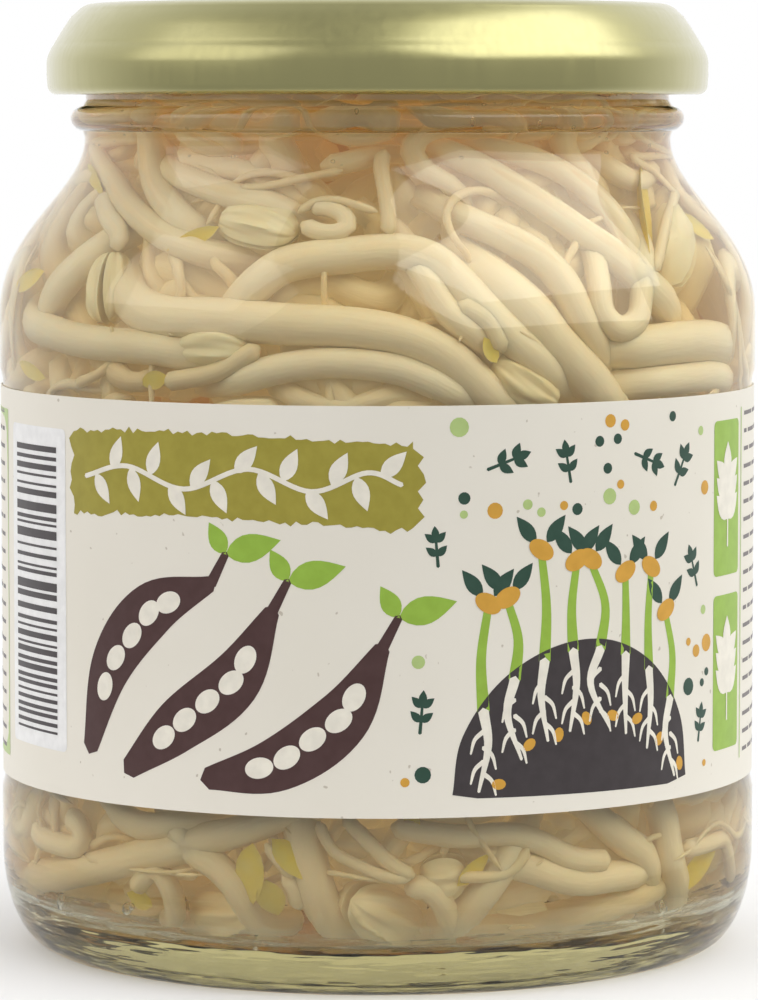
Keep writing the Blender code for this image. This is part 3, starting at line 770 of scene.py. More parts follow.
# %% Beans and leaves at the front
BEANS_IN_FRONT = [              # the two ends of each bean, and its turn about them in degrees
    ((-24, 78), (-12, 76.5), 50), ((-32, 64.5), (-20, 64.5), 20), ((-47, 67), (-45, 73.5), 70),
    ((29, 60), (18, 63.5), 15), ((-46, 4.8), (-33, 6), 0), ((-29, 7), (-18, 8), -10), ((-5, 11), (4, 6), 10),
    ((14, 12.5), (7, 12), 40), ((54, 6.5), (68, 7), 0),
]
LEAVES_IN_FRONT = [             # base and tip of each leaf, and its width in mm
    ((43, 83), (45, 73), 4.8), ((51, 78), (61, 75.5), 2.4), ((-24, 77), (-33, 74.5), 1.8),
    ((-60, 72), (-72, 70), 1.8), ((-60, 61), (-70, 62.5), 1.6), ((-49, 83), (-45, 80), 2.6),
    ((18, 63.5), (16, 66), 1.6), ((-19, 15.5), (-19, 9.5), 3.4), ((-16, 16), (-10, 12), 2.6),
    ((-17, 12), (-15, 8.5), 3.0), ((12, 11.5), (17, 14.5), 1.8), ((52, 9), (64, 12.5), 2.8),
    ((-36, 8.5), (-41, 9.5), 1.8), ((-33, 62), (-38, 61), 1.8), ((5, 19.5), (5.5, 16), 1.6),
]
print("beans at the front", len(BEANS_IN_FRONT), "and leaves", len(LEAVES_IN_FRONT))

# %% [markdown]
# ## From corners to chains
# A course becomes a chain of evenly spaced points, each moved to where the bent view puts it. A thick
# stem that simply ended would look cut off, so both its ends dive between the others.


# %% Courses along the glass
def course(corners, link):
    """Evenly spaced points along a smooth course through corners of angle and height."""
    corners = np.array(corners, float)
    ends = [2 * corners[0] - corners[1], *corners, 2 * corners[-1] - corners[-2]]
    path = []
    for a, b, c, d in zip(ends, ends[1:], ends[2:], ends[3:]):
        for t in (0.0, 0.25, 0.5, 0.75):
            path.append(0.5 * (2 * b + (c - a) * t + (2 * a - 5 * b + 4 * c - d) * t ** 2
                               + (3 * b - a - 3 * c + d) * t ** 3))
    path.append(corners[-1])
    places = np.array([at_the_front(angle, height) for angle, height in path])
    run = np.concatenate([[0.0], np.cumsum(np.linalg.norm(np.diff(places, axis=0), axis=1))])
    marks = np.linspace(0.0, run[-1], max(2, round(run[-1] / link)) + 1)
    return np.stack([np.interp(marks, run, places[:, axis]) for axis in range(3)], axis=1)


def drawn_in(points, amount):
    """Points moved straight towards the axis."""
    points = np.array(points)
    distance = np.hypot(points[:, 0], points[:, 1])
    points[:, :2] *= (1.0 - amount / distance)[:, None]
    return points


def tuck_in(points):
    """Let both ends of a stem dive out of sight between the others."""
    for _ in range(2):
        way = points[-1] - points[-2]
        way /= np.linalg.norm(way)
        for _ in range(3):
            inward = -np.array([points[-1][0], points[-1][1], 0.0])
            way = way + 0.55 * inward / np.linalg.norm(inward)
            way /= np.linalg.norm(way)
            points = np.vstack([points, points[-1] + way * LINK])
        points = points[::-1]
    return points


# %% Chains at the front
chains = []                     # each chain holds its points, their half thickness, and what it is
THIN = 1.2                      # half a stem's thickness in mm, under which it counts as a hook or a root


def add_chain(points, half, bean=False, seen=False, tint=0.5, roll=0.0):
    """Keep a chain. Seen says that it lies at the front, and roll turns its bean about its length."""
    chains.append({"points": np.array(points), "half": np.array(half), "bean": bean, "seen": seen,
                   "tint": tint, "roll": roll})


for half, corners in STEMS_IN_FRONT:
    points = course(corners, LINK if half > THIN else HOOK_LINK)
    points = drawn_in(points, half * MM - STEM_HALF)
    if half > THIN:
        points = tuck_in(points)
    add_chain(points, np.full(len(points), half * MM), seen=True, tint=chance.uniform(0.05, 0.5))
for end, base, roll in BEANS_IN_FRONT:
    points = drawn_in(course([end, base], 5.0 * MM), 0.9 * MM)
    add_chain([points[0], points[len(points) // 2], points[-1]], BEAN_HALF, bean=True, seen=True,
              tint=chance.uniform(0.1, 0.6), roll=roll)
print("chains at the front", len(chains))

# %% [markdown]
# ## Loose sprouts for the rest
# Every other sprout is drawn by chance: where it starts, which way it heads, how it bends, how long and
# thick it is, and whether it still has its bean and its root. The bean hangs from a hook that keeps its
# shape. The chance has a fixed seed, so that every run gives the same jar.


# %% A hook and its bean
def turned_way(way, change):
    """A direction after a small change."""
    way = way + change
    return way / np.linalg.norm(way)


def hook_and_bean(start, first, side):
    """The bent neck before a stem's start, and three points through its bean, from the bean's tip on."""
    radius = chance.uniform(2.5, 4.0) * MM
    turn = math.radians(chance.uniform(90.0, 190.0))
    centre = start + side * radius
    count = max(3, round(turn * radius / HOOK_LINK))
    hook = []
    for step in range(1, count + 1):
        t = turn * step / count
        hook.append(centre - side * radius * math.cos(t) - first * radius * math.sin(t))
    way = side * math.sin(turn) - first * math.cos(turn)
    hook += [hook[-1] + way * along * MM for along in (2.0, 5.2, 8.4)]
    return hook[::-1], list(BEAN_HALF) + [NECK_HALF] * count


# %% One loose sprout
ROOTED, WITH_BEAN = 0.4, 0.36   # shares of the sprouts


def loose_sprout():
    """Add a sprout that starts anywhere in the jar and runs mostly along the glass."""
    height = chance.uniform(7.0, 88.0) * MM
    reach = float(room(height))
    distance = reach * math.sqrt(chance.uniform(0.06, 1.0))
    start = np.array(polar(chance.uniform(-180.0, 180.0), distance, height))
    outward = np.array([start[0], start[1], 0.0]) / distance
    level = np.cross((0.0, 0.0, 1.0), outward) * chance.choice((-1.0, 1.0))
    slope = math.radians(chance.normal(0.0, 36.0))
    upright = np.array((0.0, 0.0, 1.0))
    heading = turned_way(level * math.cos(slope) + upright * math.sin(slope), 0.12 * chance.normal(size=3))
    side = np.cross(outward, heading)
    side *= chance.choice((-1.0, 1.0)) / np.linalg.norm(side)
    thick = STEM_HALF * chance.uniform(0.75, 1.25)
    links = int(chance.integers(9, 22))
    bend = chance.normal(0.0, 0.07)
    points, half = [start], [thick]
    for _ in range(links):
        sideways, outwards = bend + chance.normal(0.0, 0.04), chance.normal(0.0, 0.04)
        heading = turned_way(heading, side * sideways + outward * outwards)
        points.append(points[-1] + heading * LINK)
        half.append(thick * (1.0 + 0.05 * chance.normal()))
    if chance.random() < ROOTED:
        half[-1], half[-2] = thick * 0.55, thick * 0.85
        for step in range(int(chance.integers(4, 10))):
            heading = turned_way(heading, 0.20 * chance.normal(size=3))
            points.append(points[-1] + heading * LINK)
            half.append(max(0.22 * MM, ROOT_HALF * (1.25 - 0.12 * step)))
    bean = chance.random() < WITH_BEAN
    if bean:
        half[0], half[1] = thick * 0.75, thick * 0.92
        hook, hook_half = hook_and_bean(points[0], turned_way(points[1], -points[0]), side)
        points, half = hook + points, hook_half + list(half)
    add_chain(points, half, bean=bean, tint=chance.beta(2.0, 3.0), roll=chance.uniform(-90.0, 90.0))


for _ in range(LOOSE_SPROUTS):
    loose_sprout()
print("chains in all", len(chains), "with", sum(len(c["points"]) for c in chains), "points")

# %% [markdown]
# ## Pressing them together
# The solver is the simple kind that games use for ropes. In each round it looks at every pair of points
# that are too close and moves both apart by half of the overlap, then puts every link back to its length.
# Blender's own cloth could do it too, but this runs in seconds and keeps each sprout's thickness. First
# come lists of all points, of the links between them, and of the braces that keep a hook and its bean in
# shape.

# %% All points in one list
places = np.concatenate([c["points"] for c in chains])
halves = np.concatenate([c["half"] for c in chains])
owner = np.concatenate([np.full(len(c["points"]), number) for number, c in enumerate(chains)])
seen = np.array([c["seen"] for c in chains])[owner]
order = np.concatenate([np.arange(len(c["points"])) for c in chains])
wanted = places.copy()
total = len(places)
print("points", total)


# %% Links, bends and braces
def between(points, first, second):
    """The distances between pairs of points."""
    return np.linalg.norm(points[second] - points[first], axis=1)


links = np.nonzero(owner[:-1] == owner[1:])[0]
link_length = between(places, links, links + 1)
odd = order[links] % 2 == 1
bends = np.nonzero(owner[:-2] == owner[2:])[0]
least_bend = between(places, bends, bends + 2) * 0.975
braces, start = [], 0
for chain in chains:
    if chain["bean"]:
        stiff = min(len(chain["points"]), 5 + int(np.sum(chain["half"] == NECK_HALF)))
        braces += [(start + i, start + j) for i in range(stiff) for j in range(i + 2, stiff)]
    start += len(chain["points"])
braces = np.array(braces)
brace_length = between(places, braces[:, 0], braces[:, 1])
print("links", len(links), "braces", len(braces))

# %% [markdown]
# ## The moves of one round
# Every rule of the solver is a pull between pairs of points: links pull to their length, bends and
# touching stems only push apart. Where a loose stem would lie in front of one whose course is listed, it
# gives way inward, so the listed ones stay in view.


# %% The solver's moves
def spread(index, moves):
    """Add up the moves of each point."""
    return np.stack([np.bincount(index, moves[:, axis], total) for axis in range(3)], axis=1)


def pull(points, first, second, length, strength, only_apart=False):
    """Bring pairs of points to their distance. Each point takes the mean of its moves."""
    gap = points[second] - points[first]
    distance = np.maximum(np.linalg.norm(gap, axis=1), 1e-7)
    error = distance - length
    if only_apart:
        error = np.minimum(error, 0.0)
    move = gap * (0.5 * strength * error / distance)[:, None]
    moved = error != 0.0
    count = np.bincount(first[moved], minlength=total) + np.bincount(second[moved], minlength=total)
    points += (spread(first, move) - spread(second, move)) / np.maximum(count, 1)[:, None]


def give_way(points, first, second, length):
    """Where a loose sprout meets one at the front, the loose one moves inward, behind it."""
    mixed = seen[first] != seen[second]
    loose = np.where(seen[first], second, first)[mixed]
    amount = np.zeros(total)
    np.maximum.at(amount, loose, np.maximum(length - between(points, first, second), 0.0)[mixed])
    distance = np.maximum(np.hypot(points[:, 0], points[:, 1]), MM)
    points[:, :2] *= (1.0 - 0.5 * amount / distance)[:, None]


def near_pairs(points):
    """All pairs of points that may touch in the next rounds."""
    tree = kdtree.KDTree(total)
    for index, point in enumerate(points):
        tree.insert(point, index)
    tree.balance()
    reach = 2 * STEM_HALF * 1.25 + 1.6 * MM
    pairs = [(index, found[1]) for index, point in enumerate(points)
             for found in tree.find_range(point, reach) if found[1] > index]
    first, second = np.array(pairs).T
    apart = (owner[first] != owner[second]) | (second - first > 4)
    return first[apart], second[apart]


# %% Run the solver
ROUNDS = 120
LAST_ROUNDS = 30                # in which only the loose ones at the front give way
START_SIZE, FULL_SIZE = 0.55, 0.97  # the stems swell from a part of their thickness
PUSH_RADIUS = 24.0 * MM         # outside this radius everything drifts to the glass
DRIFT = 0.035 * MM
HOLD = 0.30                     # how firmly the stems at the front keep their places
for round_number in range(ROUNDS):
    if round_number % 10 == 0:
        near, other = near_pairs(places)
    size = min(FULL_SIZE, START_SIZE + 0.6 * round_number / ROUNDS)
    touch = (halves[near] + halves[other]) * size
    pull(places, near, other, touch, 1.5, only_apart=True)
    give_way(places, near, other, touch)
    pull(places, bends, bends + 2, least_bend, 1.0, only_apart=True)
    for part in (odd, ~odd):
        pull(places, links[part], links[part] + 1, link_length[part], 1.0)
    pull(places, braces[:, 0], braces[:, 1], brace_length, 1.6)
    distance = np.hypot(places[:, 0], places[:, 1])
    drift = np.where(distance > PUSH_RADIUS, DRIFT, 0.0)
    places[:, :2] *= (1.0 + drift / np.maximum(distance, MM))[:, None]
    places[seen] += HOLD * (wanted[seen] - places[seen])
    hold_inside(places, halves)
near, other = near_pairs(places)
touch = halves[near] + halves[other]
for _ in range(LAST_ROUNDS):
    give_way(places, near, other, touch)
overlap = np.maximum(touch - between(places, near, other), 0.0)
print("pairs", len(near), "mean overlap in mm", round(float(overlap.mean()) / MM, 3))

# %% [markdown]
# ## Sorting the chains
# Stems against the glass are looked at closely, and those deep inside hardly show. So the chains are
# sorted into front, near, far and inner ones, and each sort is swept as finely as it deserves.

# %% Smooth the chains and sort them
AT_GLASS = 6.0 * MM
start = 0
for chain in chains:
    points = places[start:start + len(chain["points"])]
    start += len(points)
    inner = points[1:-1].copy()
    if len(points) > 3:
        points[1:-1] = 0.6 * inner + 0.2 * (points[:-2] + points[2:])
    depth = room(points[:, 2]) - np.hypot(points[:, 0], points[:, 1])
    chain["points"] = points
    towards_us = np.mean(points[:, 1]) < 0.0
    chain["place"] = "near" if towards_us else "far"
    if np.mean(depth < AT_GLASS) <= 0.3:
        chain["place"] = "inner"
    if chain["seen"]:
        chain["place"] = "front"
for place in ("front", "near", "far", "inner"):
    print("chains", place, sum(c["place"] == place for c in chains))

# %% [markdown]
# ## From chains to stems
# Each chain becomes a curve, and each curve becomes a tube whose thickness follows its points. Geometry
# Nodes do this for all stems in one go: the chains go in as bare edges, and the tree turns them into
# smooth curves, sweeps a circle along them, and leaves a mark for the material that says where round and
# along the stem it is. Two helpers come first, which start a tree and run it.


# %% Helpers for node trees
def new_tree(name, inputs, output):
    """A geometry node tree with named inputs, and a short way to add nodes to it."""
    tree = bpy.data.node_groups.new(name, "GeometryNodeTree")
    for label, kind in inputs:
        tree.interface.new_socket(label, in_out="INPUT", socket_type="NodeSocket" + kind)
    tree.interface.new_socket(output, in_out="OUTPUT", socket_type="NodeSocketGeometry")
    into = tree.nodes.new("NodeGroupInput").outputs
    out_of = tree.nodes.new("NodeGroupOutput").inputs[output]

    def node(kind, settings=None, **links):
        prefix = "" if kind.startswith(("Shader", "Function")) else "GeometryNode"
        made = tree.nodes.new(prefix + kind)
        for key, value in (settings or {}).items():
            setattr(made, key, value)
        for key, value in links.items():
            socket = made.inputs[key.replace("_", " ")]
            if isinstance(value, bpy.types.NodeSocket):
                tree.links.new(value, socket)
            else:
                socket.default_value = value
        return made

    return tree, into, out_of, node


def finish_tree(tree, built, finish, out_of, node):
    """End a tree as plain, dressed geometry."""
    real = node("RealizeInstances", Geometry=built).outputs["Geometry"]
    dressed = node("SetMaterial", Geometry=real, Material=finish).outputs["Geometry"]
    tree.links.new(dressed, out_of)
    return tree


# %% Run a tree
def run_tree(name, source, tree, values, crease=180.0):
    """Run a tree on a mesh object and keep the result as a plain mesh object at the origin."""
    modifier = source.modifiers.new("tree", "NODES")
    modifier.node_group = tree
    for key, value in values.items():
        socket = next(item.identifier for item in tree.interface.items_tree if item.name == key)
        modifier[socket] = value
    made = bpy.data.meshes.new_from_object(source.evaluated_get(bpy.context.evaluated_depsgraph_get()))
    source.modifiers.remove(modifier)
    bpy.data.objects.remove(source)
    made.name = name
    made.shade_smooth()
    made.set_sharp_from_angle(angle=math.radians(crease))
    piece = bpy.data.objects.new(name, made)
    scene.collection.objects.link(piece)
    return piece


# %% The tree that sweeps stems
def stem_tree():
    """Sweep a circle along every chain, with round ends."""
    inputs = (("Chains", "Geometry"), ("Step", "Float"), ("Sides", "Int"), ("Finish", "Material"))
    tree, into, out_of, node = new_tree("sweep stems", inputs, "Stems")
    curves = node("MeshToCurve", Mesh=into["Chains"]).outputs["Curve"]
    smooth = node("CurveSplineType", {"spline_type": "CATMULL_ROM"}, Curve=curves).outputs["Curve"]
    even = node("ResampleCurve", {"mode": "LENGTH"}, Curve=smooth, Length=into["Step"]).outputs["Curve"]
    thick = node("InputNamedAttribute", {"data_type": "FLOAT"}, Name="thickness").outputs["Attribute"]
    along = node("CaptureAttribute")
    along.capture_items.new("FLOAT", "Run")
    tree.links.new(even, along.inputs["Geometry"])
    run = node("SplineParameter").outputs["Length"]
    tree.links.new(run, along.inputs["Run"])

    def maths(operation, first, second=0.0):
        """One step of reckoning with two numbers or sockets."""
        step = tree.nodes.new("ShaderNodeMath")
        step.operation = operation
        for socket, value in zip(step.inputs, (first, second)):
            if isinstance(value, bpy.types.NodeSocket):
                tree.links.new(value, socket)
            else:
                socket.default_value = value
        return step.outputs["Value"]

    rest = maths("SUBTRACT", node("SplineLength").outputs["Length"], run)
    share = maths("MINIMUM", maths("DIVIDE", maths("MINIMUM", run, rest), thick), 1.0)
    dome = maths("SQRT", maths("SUBTRACT", 1.0, maths("POWER", maths("SUBTRACT", 1.0, share), 2.0)))
    rounded_end = maths("MULTIPLY", thick, maths("MAXIMUM", dome, 0.25))
    circle = node("CurvePrimitiveCircle", Resolution=into["Sides"], Radius=1.0).outputs["Curve"]
    about = node("CaptureAttribute")
    about.capture_items.new("VECTOR", "Rim")
    tree.links.new(circle, about.inputs["Geometry"])
    tree.links.new(node("InputPosition").outputs["Position"], about.inputs["Rim"])
    swept = node("CurveToMesh", Curve=along.outputs["Geometry"], Profile_Curve=about.outputs["Geometry"],
                 Scale=rounded_end, Fill_Caps=True).outputs["Mesh"]
    rim_place = node("ShaderNodeSeparateXYZ", Vector=about.outputs["Rim"]).outputs
    mark = node("ShaderNodeCombineXYZ", X=rim_place["X"], Y=rim_place["Y"], Z=along.outputs["Run"])
    marked = node("StoreNamedAttribute", {"data_type": "FLOAT_VECTOR", "domain": "POINT"}, Geometry=swept,
                  Name="grain", Value=mark.outputs["Vector"]).outputs["Geometry"]
    return finish_tree(tree, marked, into["Finish"], out_of, node)


# %% Chains as edges, and the mark of depth
def chains_to_edges(name, chosen):
    """The chains as a mesh of bare edges, with marks for thickness, tint and age."""
    vertices, edges, marks = [], [], {"thickness": [], "tint": [], "age": []}
    for chain in chosen:
        points, half = chain["points"], chain["half"]
        if chain["bean"]:
            points, half = points[2:], half[2:].copy()
            if len(points) < 3:
                continue
            half[0] = NECK_HALF
        base = len(vertices)
        vertices += [tuple(p) for p in points]
        edges += [(base + i, base + i + 1) for i in range(len(points) - 1)]
        marks["thickness"] += list(half)
        marks["tint"] += [chain["tint"]] * len(points)
        marks["age"] += list(np.clip(1.15 - half / (1.0 * MM), 0.0, 1.0))
    mesh = bpy.data.meshes.new(name)
    mesh.from_pydata(vertices, edges, [])
    for key, values in marks.items():
        mesh.attributes.new(key, "FLOAT", "POINT").data.foreach_set("value", np.array(values, np.float32))
    holder = bpy.data.objects.new(name, mesh)
    scene.collection.objects.link(holder)
    return holder


def mark_depth(piece, share=1.0):
    """Mark how deep each point lies behind the glass, in mm, for the finish to paint it browner and let it
    glow more.
    """
    points = np.empty(3 * len(piece.data.vertices), np.float32)
    piece.data.vertices.foreach_get("co", points)
    points = points.reshape(-1, 3)
    wall = np.interp(points[:, 2], inner_face[:, 0], inner_face[:, 1])
    depth = share * (wall - np.hypot(points[:, 0], points[:, 1])) / MM
    piece.data.attributes.new("depth", "FLOAT", "POINT").data.foreach_set("value", depth.astype(np.float32))


# %% [markdown]
# ## Flesh in cloudy liquid
# Raw sprouts are white and moist, and light goes a little way into them. In the jar they look golden, and
# what lies deeper looks browner and flatter, because the liquid is cloudy. A volume that scatters light
# would show this truly but takes far too long to render. So that light is painted into the finish: it
# turns browner with the depth that was marked, and it has a painted glow for the light that the cloud in
# front would send back. Near the top the painted glow is stronger and more amber, and brightens the
# sprouts in the neck, where the lid shades them. The colour also turns browner near the top and warmer
# low in the jar.

# %% Painted colours of the cloudy liquid, and tints by height
PAINTED_MURK = (0.67, 0.53, 0.27)       # painted: the brown that the cloudy liquid lends to what lies deep
TOP_BROWN = (0.86, 0.60, 0.26)  # sprouts near the top are made browner
WARMER_LOW = (1.0, 0.76, 0.38)     # low in the jar their colour is made warmer
PAINTED_GLOW = (0.52, 0.435, 0.215)     # painted glow: stands in for the light that the cloudy liquid would send back
# painted glow near the top, which brightens the sprouts in the neck where the lid shades them
PAINTED_TOP_GLOW = (0.60, 0.40, 0.16)
TOP_SPAN = (77.0 * MM, 85.0 * MM)  # heights over which the colour turns browner and the painted glow more amber


def paint_murk_and_glow(finish, colour):
    """Paint the liquid's brown onto a colour as the depth behind the glass grows, tint it by height, and add
    a painted glow.
    """
    depth = finish.add("ShaderNodeAttribute", {"attribute_name": "depth"}).outputs["Fac"]
    height = finish.add("ShaderNodeSeparateXYZ", Vector=finish.place()).outputs["Z"]
    # the painted glow: a little everywhere, more with depth, and most in the neck under the lid's shade
    deep_glow = finish.span(depth, 0.5, 6.0, 0.04, 0.26)
    top_glow = finish.span(height, 77.0 * MM, 86.0 * MM, 0.0, 0.20)
    glow = finish.add("ShaderNodeMath", {"operation": "MAXIMUM"}, n0=deep_glow, n1=top_glow).outputs["Value"]
    glow_colour = finish.mix(finish.span(height, *TOP_SPAN), PAINTED_GLOW, PAINTED_TOP_GLOW)
    finish.look(Emission_Color=glow_colour, Emission_Strength=glow)
    browner_at_top = finish.mix(finish.span(height, *TOP_SPAN, 0.0, 0.62), colour, TOP_BROWN)
    warmed = finish.mix(finish.span(height, 12.0 * MM, 24.0 * MM, 0.45, 0.0), browner_at_top, WARMER_LOW)
    return finish.mix(finish.span(depth, 0.8, 7.0, 0.0, 0.9), warmed, PAINTED_MURK)


def fleshy(finish, colour, scale):
    """A moist, slightly translucent surface."""
    finish.look(Base_Color=colour, Roughness=0.38)
    finish.shader.inputs["Subsurface Weight"].default_value = 0.35
    finish.shader.inputs["Subsurface Radius"].default_value = (1.0, 0.75, 0.5)
    finish.shader.inputs["Subsurface Scale"].default_value = scale
    finish.shader.inputs["Specular IOR Level"].default_value = 0.3


# %% Stem flesh
flesh = Finish("stem flesh")
flesh_tint = flesh.add("ShaderNodeAttribute", {"attribute_name": "tint"}).outputs["Fac"]
flesh_age = flesh.add("ShaderNodeAttribute", {"attribute_name": "age"}).outputs["Fac"]
flesh_grain = flesh.add("ShaderNodeAttribute", {"attribute_name": "grain"}).outputs["Vector"]
flesh_stretch = flesh.add("ShaderNodeMapping", Vector=flesh_grain, Scale=(1.0, 1.0, 90.0)).outputs["Vector"]
flesh_lines = flesh.noise(4.5, 3.0, flesh_stretch)
flesh_cloud = flesh.noise(180.0, 2.0)
PALE, GOLDEN, TAN = (0.89, 0.78, 0.56), (0.83, 0.69, 0.44), (0.74, 0.55, 0.30)
flesh_base = flesh.ramp(flesh_tint, [(0.0, PALE), (0.5, GOLDEN), (1.0, TAN)])
flesh_soft = flesh.mix(flesh.span(flesh_cloud, 0.35, 0.75, 0.0, 0.4), flesh_base, (0.80, 0.65, 0.42))
flesh_old = flesh.mix(flesh_age, flesh_soft, (0.76, 0.58, 0.33))
fleshy(flesh, paint_murk_and_glow(flesh, flesh_old), 1.0 * MM)
flesh.look(Normal=flesh.bump(flesh_lines, 0.22, 0.0003))

# %% Sweep the stems
SWEEPS = (("front", 0.7 * MM, 12), ("near", 1.25 * MM, 9), ("far", 1.9 * MM, 7), ("inner", 3.0 * MM, 5))
FRONT_DEPTH = 0.45              # the stems at the front keep part of their depth, so the painted murk leaves them pale
stems_tree = stem_tree()
for place, step, sides in SWEEPS:
    edges = chains_to_edges(place + "_chains", [c for c in chains if c["place"] == place])
    stems = run_tree("sprout_stems_" + place, edges, stems_tree,
                     {"Step": step, "Sides": sides, "Finish": flesh.material})
    mark_depth(stems, FRONT_DEPTH if place == "front" else 1.0)
    wear(stems, flesh, "jar", "sprout_flesh", "bean_sprouts")

# %% [markdown]
# ## Beans and leaves
# A mung bean that has sprouted opens into two halves, pale yellow and ribbed along their length, with
# small pointed leaves between them. A few versions of each are modelled, and a tree places them where
# chains end. The beans at the front are looked at closely and have many faces, and the others get by with
# a few dozen.


# %% Half a bean
def bean_half(length, width, depth, side, splay, rows, around):
    """Half a bean: flat inside, round and ribbed outside, and a little bent."""
    vertices, faces = [], []
    for row in range(rows):
        t = -1.0 + 2.0 * row / (rows - 1)
        full = max(0.0, 1.0 - abs(t) ** 2.3) ** 0.5 + 0.02
        for step in range(around):
            turn = math.pi * step / (around - 1)
            rib = 1.0 + 0.075 * math.cos(8.0 * turn + 0.9 * t) + 0.03 * math.cos(15.0 * turn - 1.5 * t)
            bow = 0.035 * length * (1 - t * t)
            across = width / 2 * full * math.cos(turn) * rib - bow
            out = depth * full * math.sin(turn) * rib + 0.06 * depth
            lean = splay * (t + 1.0) * length / 4
            vertices.append((t * length / 2, across, side * (out + lean)))
    for row in range(rows - 1):
        for step in range(around):
            a, b = row * around + step, row * around + (step + 1) % around
            quad = (a, b, b + around, a + around)
            faces.append(quad[::-1] if side < 0 else quad)
    ends = [tuple(range(around)), tuple(range(rows * around - 1, (rows - 1) * around - 1, -1))]
    faces += [end if side < 0 else end[::-1] for end in ends]
    return vertices, faces


# %% Kinds of beans
def bean_kind(name, rows, around, parts):
    """A bean of one or two halves. Each part is length, width, thickness in mm, side and splay."""
    vertices, faces = [], []
    for length, width, depth, side, splay in parts:
        more, their_faces = bean_half(length * MM, width * MM, depth * MM, side, splay, rows, around)
        faces += [tuple(len(vertices) + i for i in face) for face in their_faces]
        vertices += more
    mesh = bpy.data.meshes.new(name)
    mesh.from_pydata(vertices, [], faces)
    return bpy.data.objects.new(name, mesh)


# %% A leaf
def leaf_kind(name, curl, fold):
    """A pointed leaf one unit long and wide, folded along its midrib: an upper and a lower face."""
    vertices, faces = [(0.0, 0.0, 0.0)], []
    rows = 6
    for row in range(1, rows):
        t = row / rows
        half = 0.5 * math.sin(math.pi * t ** 0.85) ** 0.8
        rise = curl * math.sin(math.pi * t)
        for across, lift in ((-1.0, 0.0), (0.0, 0.05), (1.0, 0.0), (0.0, -0.05)):
            vertices.append((t, across * half, rise + lift * 0.6 + fold * abs(across) * half))
    vertices.append((1.0, 0.0, 0.0))
    tip = len(vertices) - 1
    for step in range(4):
        after = (step + 1) % 4
        faces.append((0, 1 + step, 1 + after))
        for row in range(rows - 2):
            a, b = 1 + 4 * row + step, 1 + 4 * row + after
            faces.append((a, a + 4, b + 4, b))
        faces.append((tip - 4 + after, tip - 4 + step, tip))
    mesh = bpy.data.meshes.new(name)
    mesh.from_pydata(vertices, [], faces)
    return bpy.data.objects.new(name, mesh)


# %% The tree that places them
def placing_tree():
    """Put one of the kinds on each point, with the turn and size that the point carries."""
    inputs = (("Places", "Geometry"), ("Kinds", "Collection"), ("Finish", "Material"))
    tree, into, out_of, node = new_tree("place kinds", inputs, "Placed")
    kinds = node("CollectionInfo", Collection=into["Kinds"], Separate_Children=True, Reset_Children=True)

    def read(name, kind):
        """What a point carries under a name."""
        return node("InputNamedAttribute", {"data_type": kind}, Name=name).outputs["Attribute"]

    turn = node("FunctionNodeEulerToRotation", Euler=read("turn", "FLOAT_VECTOR")).outputs["Rotation"]
    placed = node("InstanceOnPoints", Points=into["Places"], Instance=kinds.outputs["Instances"],
                  Pick_Instance=True, Instance_Index=read("kind", "INT"), Rotation=turn,
                  Scale=read("size", "FLOAT_VECTOR")).outputs["Instances"]
    return finish_tree(tree, placed, into["Finish"], out_of, node)


# %% Turns, and kinds in their places
CREASE = 50.0                   # edges that bend by more degrees than this stay sharp


def frame_turn(along, outward, roll):
    """The turn that lays a piece's X along a way and its Z outward, and then rolls it in degrees."""
    x = Vector(along).normalized()
    y = Vector(outward).cross(x).normalized()
    turn = Matrix((x, y, x.cross(y))).transposed()
    return tuple((turn @ Matrix.Rotation(math.radians(roll), 3, "X")).to_euler())


def place_kinds(name, kinds, finish, rows, depth_share=1.0, slot="sprout_flesh", solid="bean_sprouts"):
    """Put kinds in place: each row is a place, a turn, a size, a kind and a tint."""
    collection = bpy.data.collections.new(name + "_kinds")
    scene.collection.children.link(collection)
    for kind in kinds:
        collection.objects.link(kind)
    mesh = bpy.data.meshes.new(name + "_places")
    mesh.from_pydata([tuple(row[0]) for row in rows], [], [])
    marks = (("turn", "FLOAT_VECTOR", "vector"), ("size", "FLOAT_VECTOR", "vector"),
             ("kind", "INT", "value"), ("tint", "FLOAT", "value"))
    for column, (key, kind, field) in enumerate(marks, 1):
        values = np.array([row[column] for row in rows], np.int32 if kind == "INT" else np.float32)
        mesh.attributes.new(key, kind, "POINT").data.foreach_set(field, values.ravel())
    holder = bpy.data.objects.new(name + "_places", mesh)
    scene.collection.objects.link(holder)
    piece = run_tree(name, holder, placing_tree(), {"Kinds": collection, "Finish": finish.material}, CREASE)
    for kind in kinds:
        bpy.data.objects.remove(kind)
    bpy.data.collections.remove(collection)
    mark_depth(piece, depth_share)
    wear(piece, finish, "jar", slot, solid)


# %% [markdown]
# ## The beans' own finish
# The beans are yellower than the stems, and cloudier where they bruised. They share the stems' moist
# surface, and take their own colours from a mark that every bean carries.

# %% Bean flesh
bean_skin = Finish("bean flesh")
bean_tint = bean_skin.add("ShaderNodeAttribute", {"attribute_name": "tint"}).outputs["Fac"]
bean_cloud = bean_skin.noise(260.0, 3.0)
bean_tones = [(0.0, (0.90, 0.80, 0.54)), (0.6, (0.85, 0.72, 0.43)), (1.0, (0.76, 0.58, 0.30))]
bean_base = bean_skin.ramp(bean_tint, bean_tones)
bean_soft = bean_skin.mix(bean_skin.span(bean_cloud, 0.4, 0.8, 0.0, 0.45), bean_base, (0.72, 0.56, 0.28))
fleshy(bean_skin, paint_murk_and_glow(bean_skin, bean_soft), 0.9 * MM)
bean_skin.look(Normal=bean_skin.bump(bean_cloud, 0.15, 0.0003))

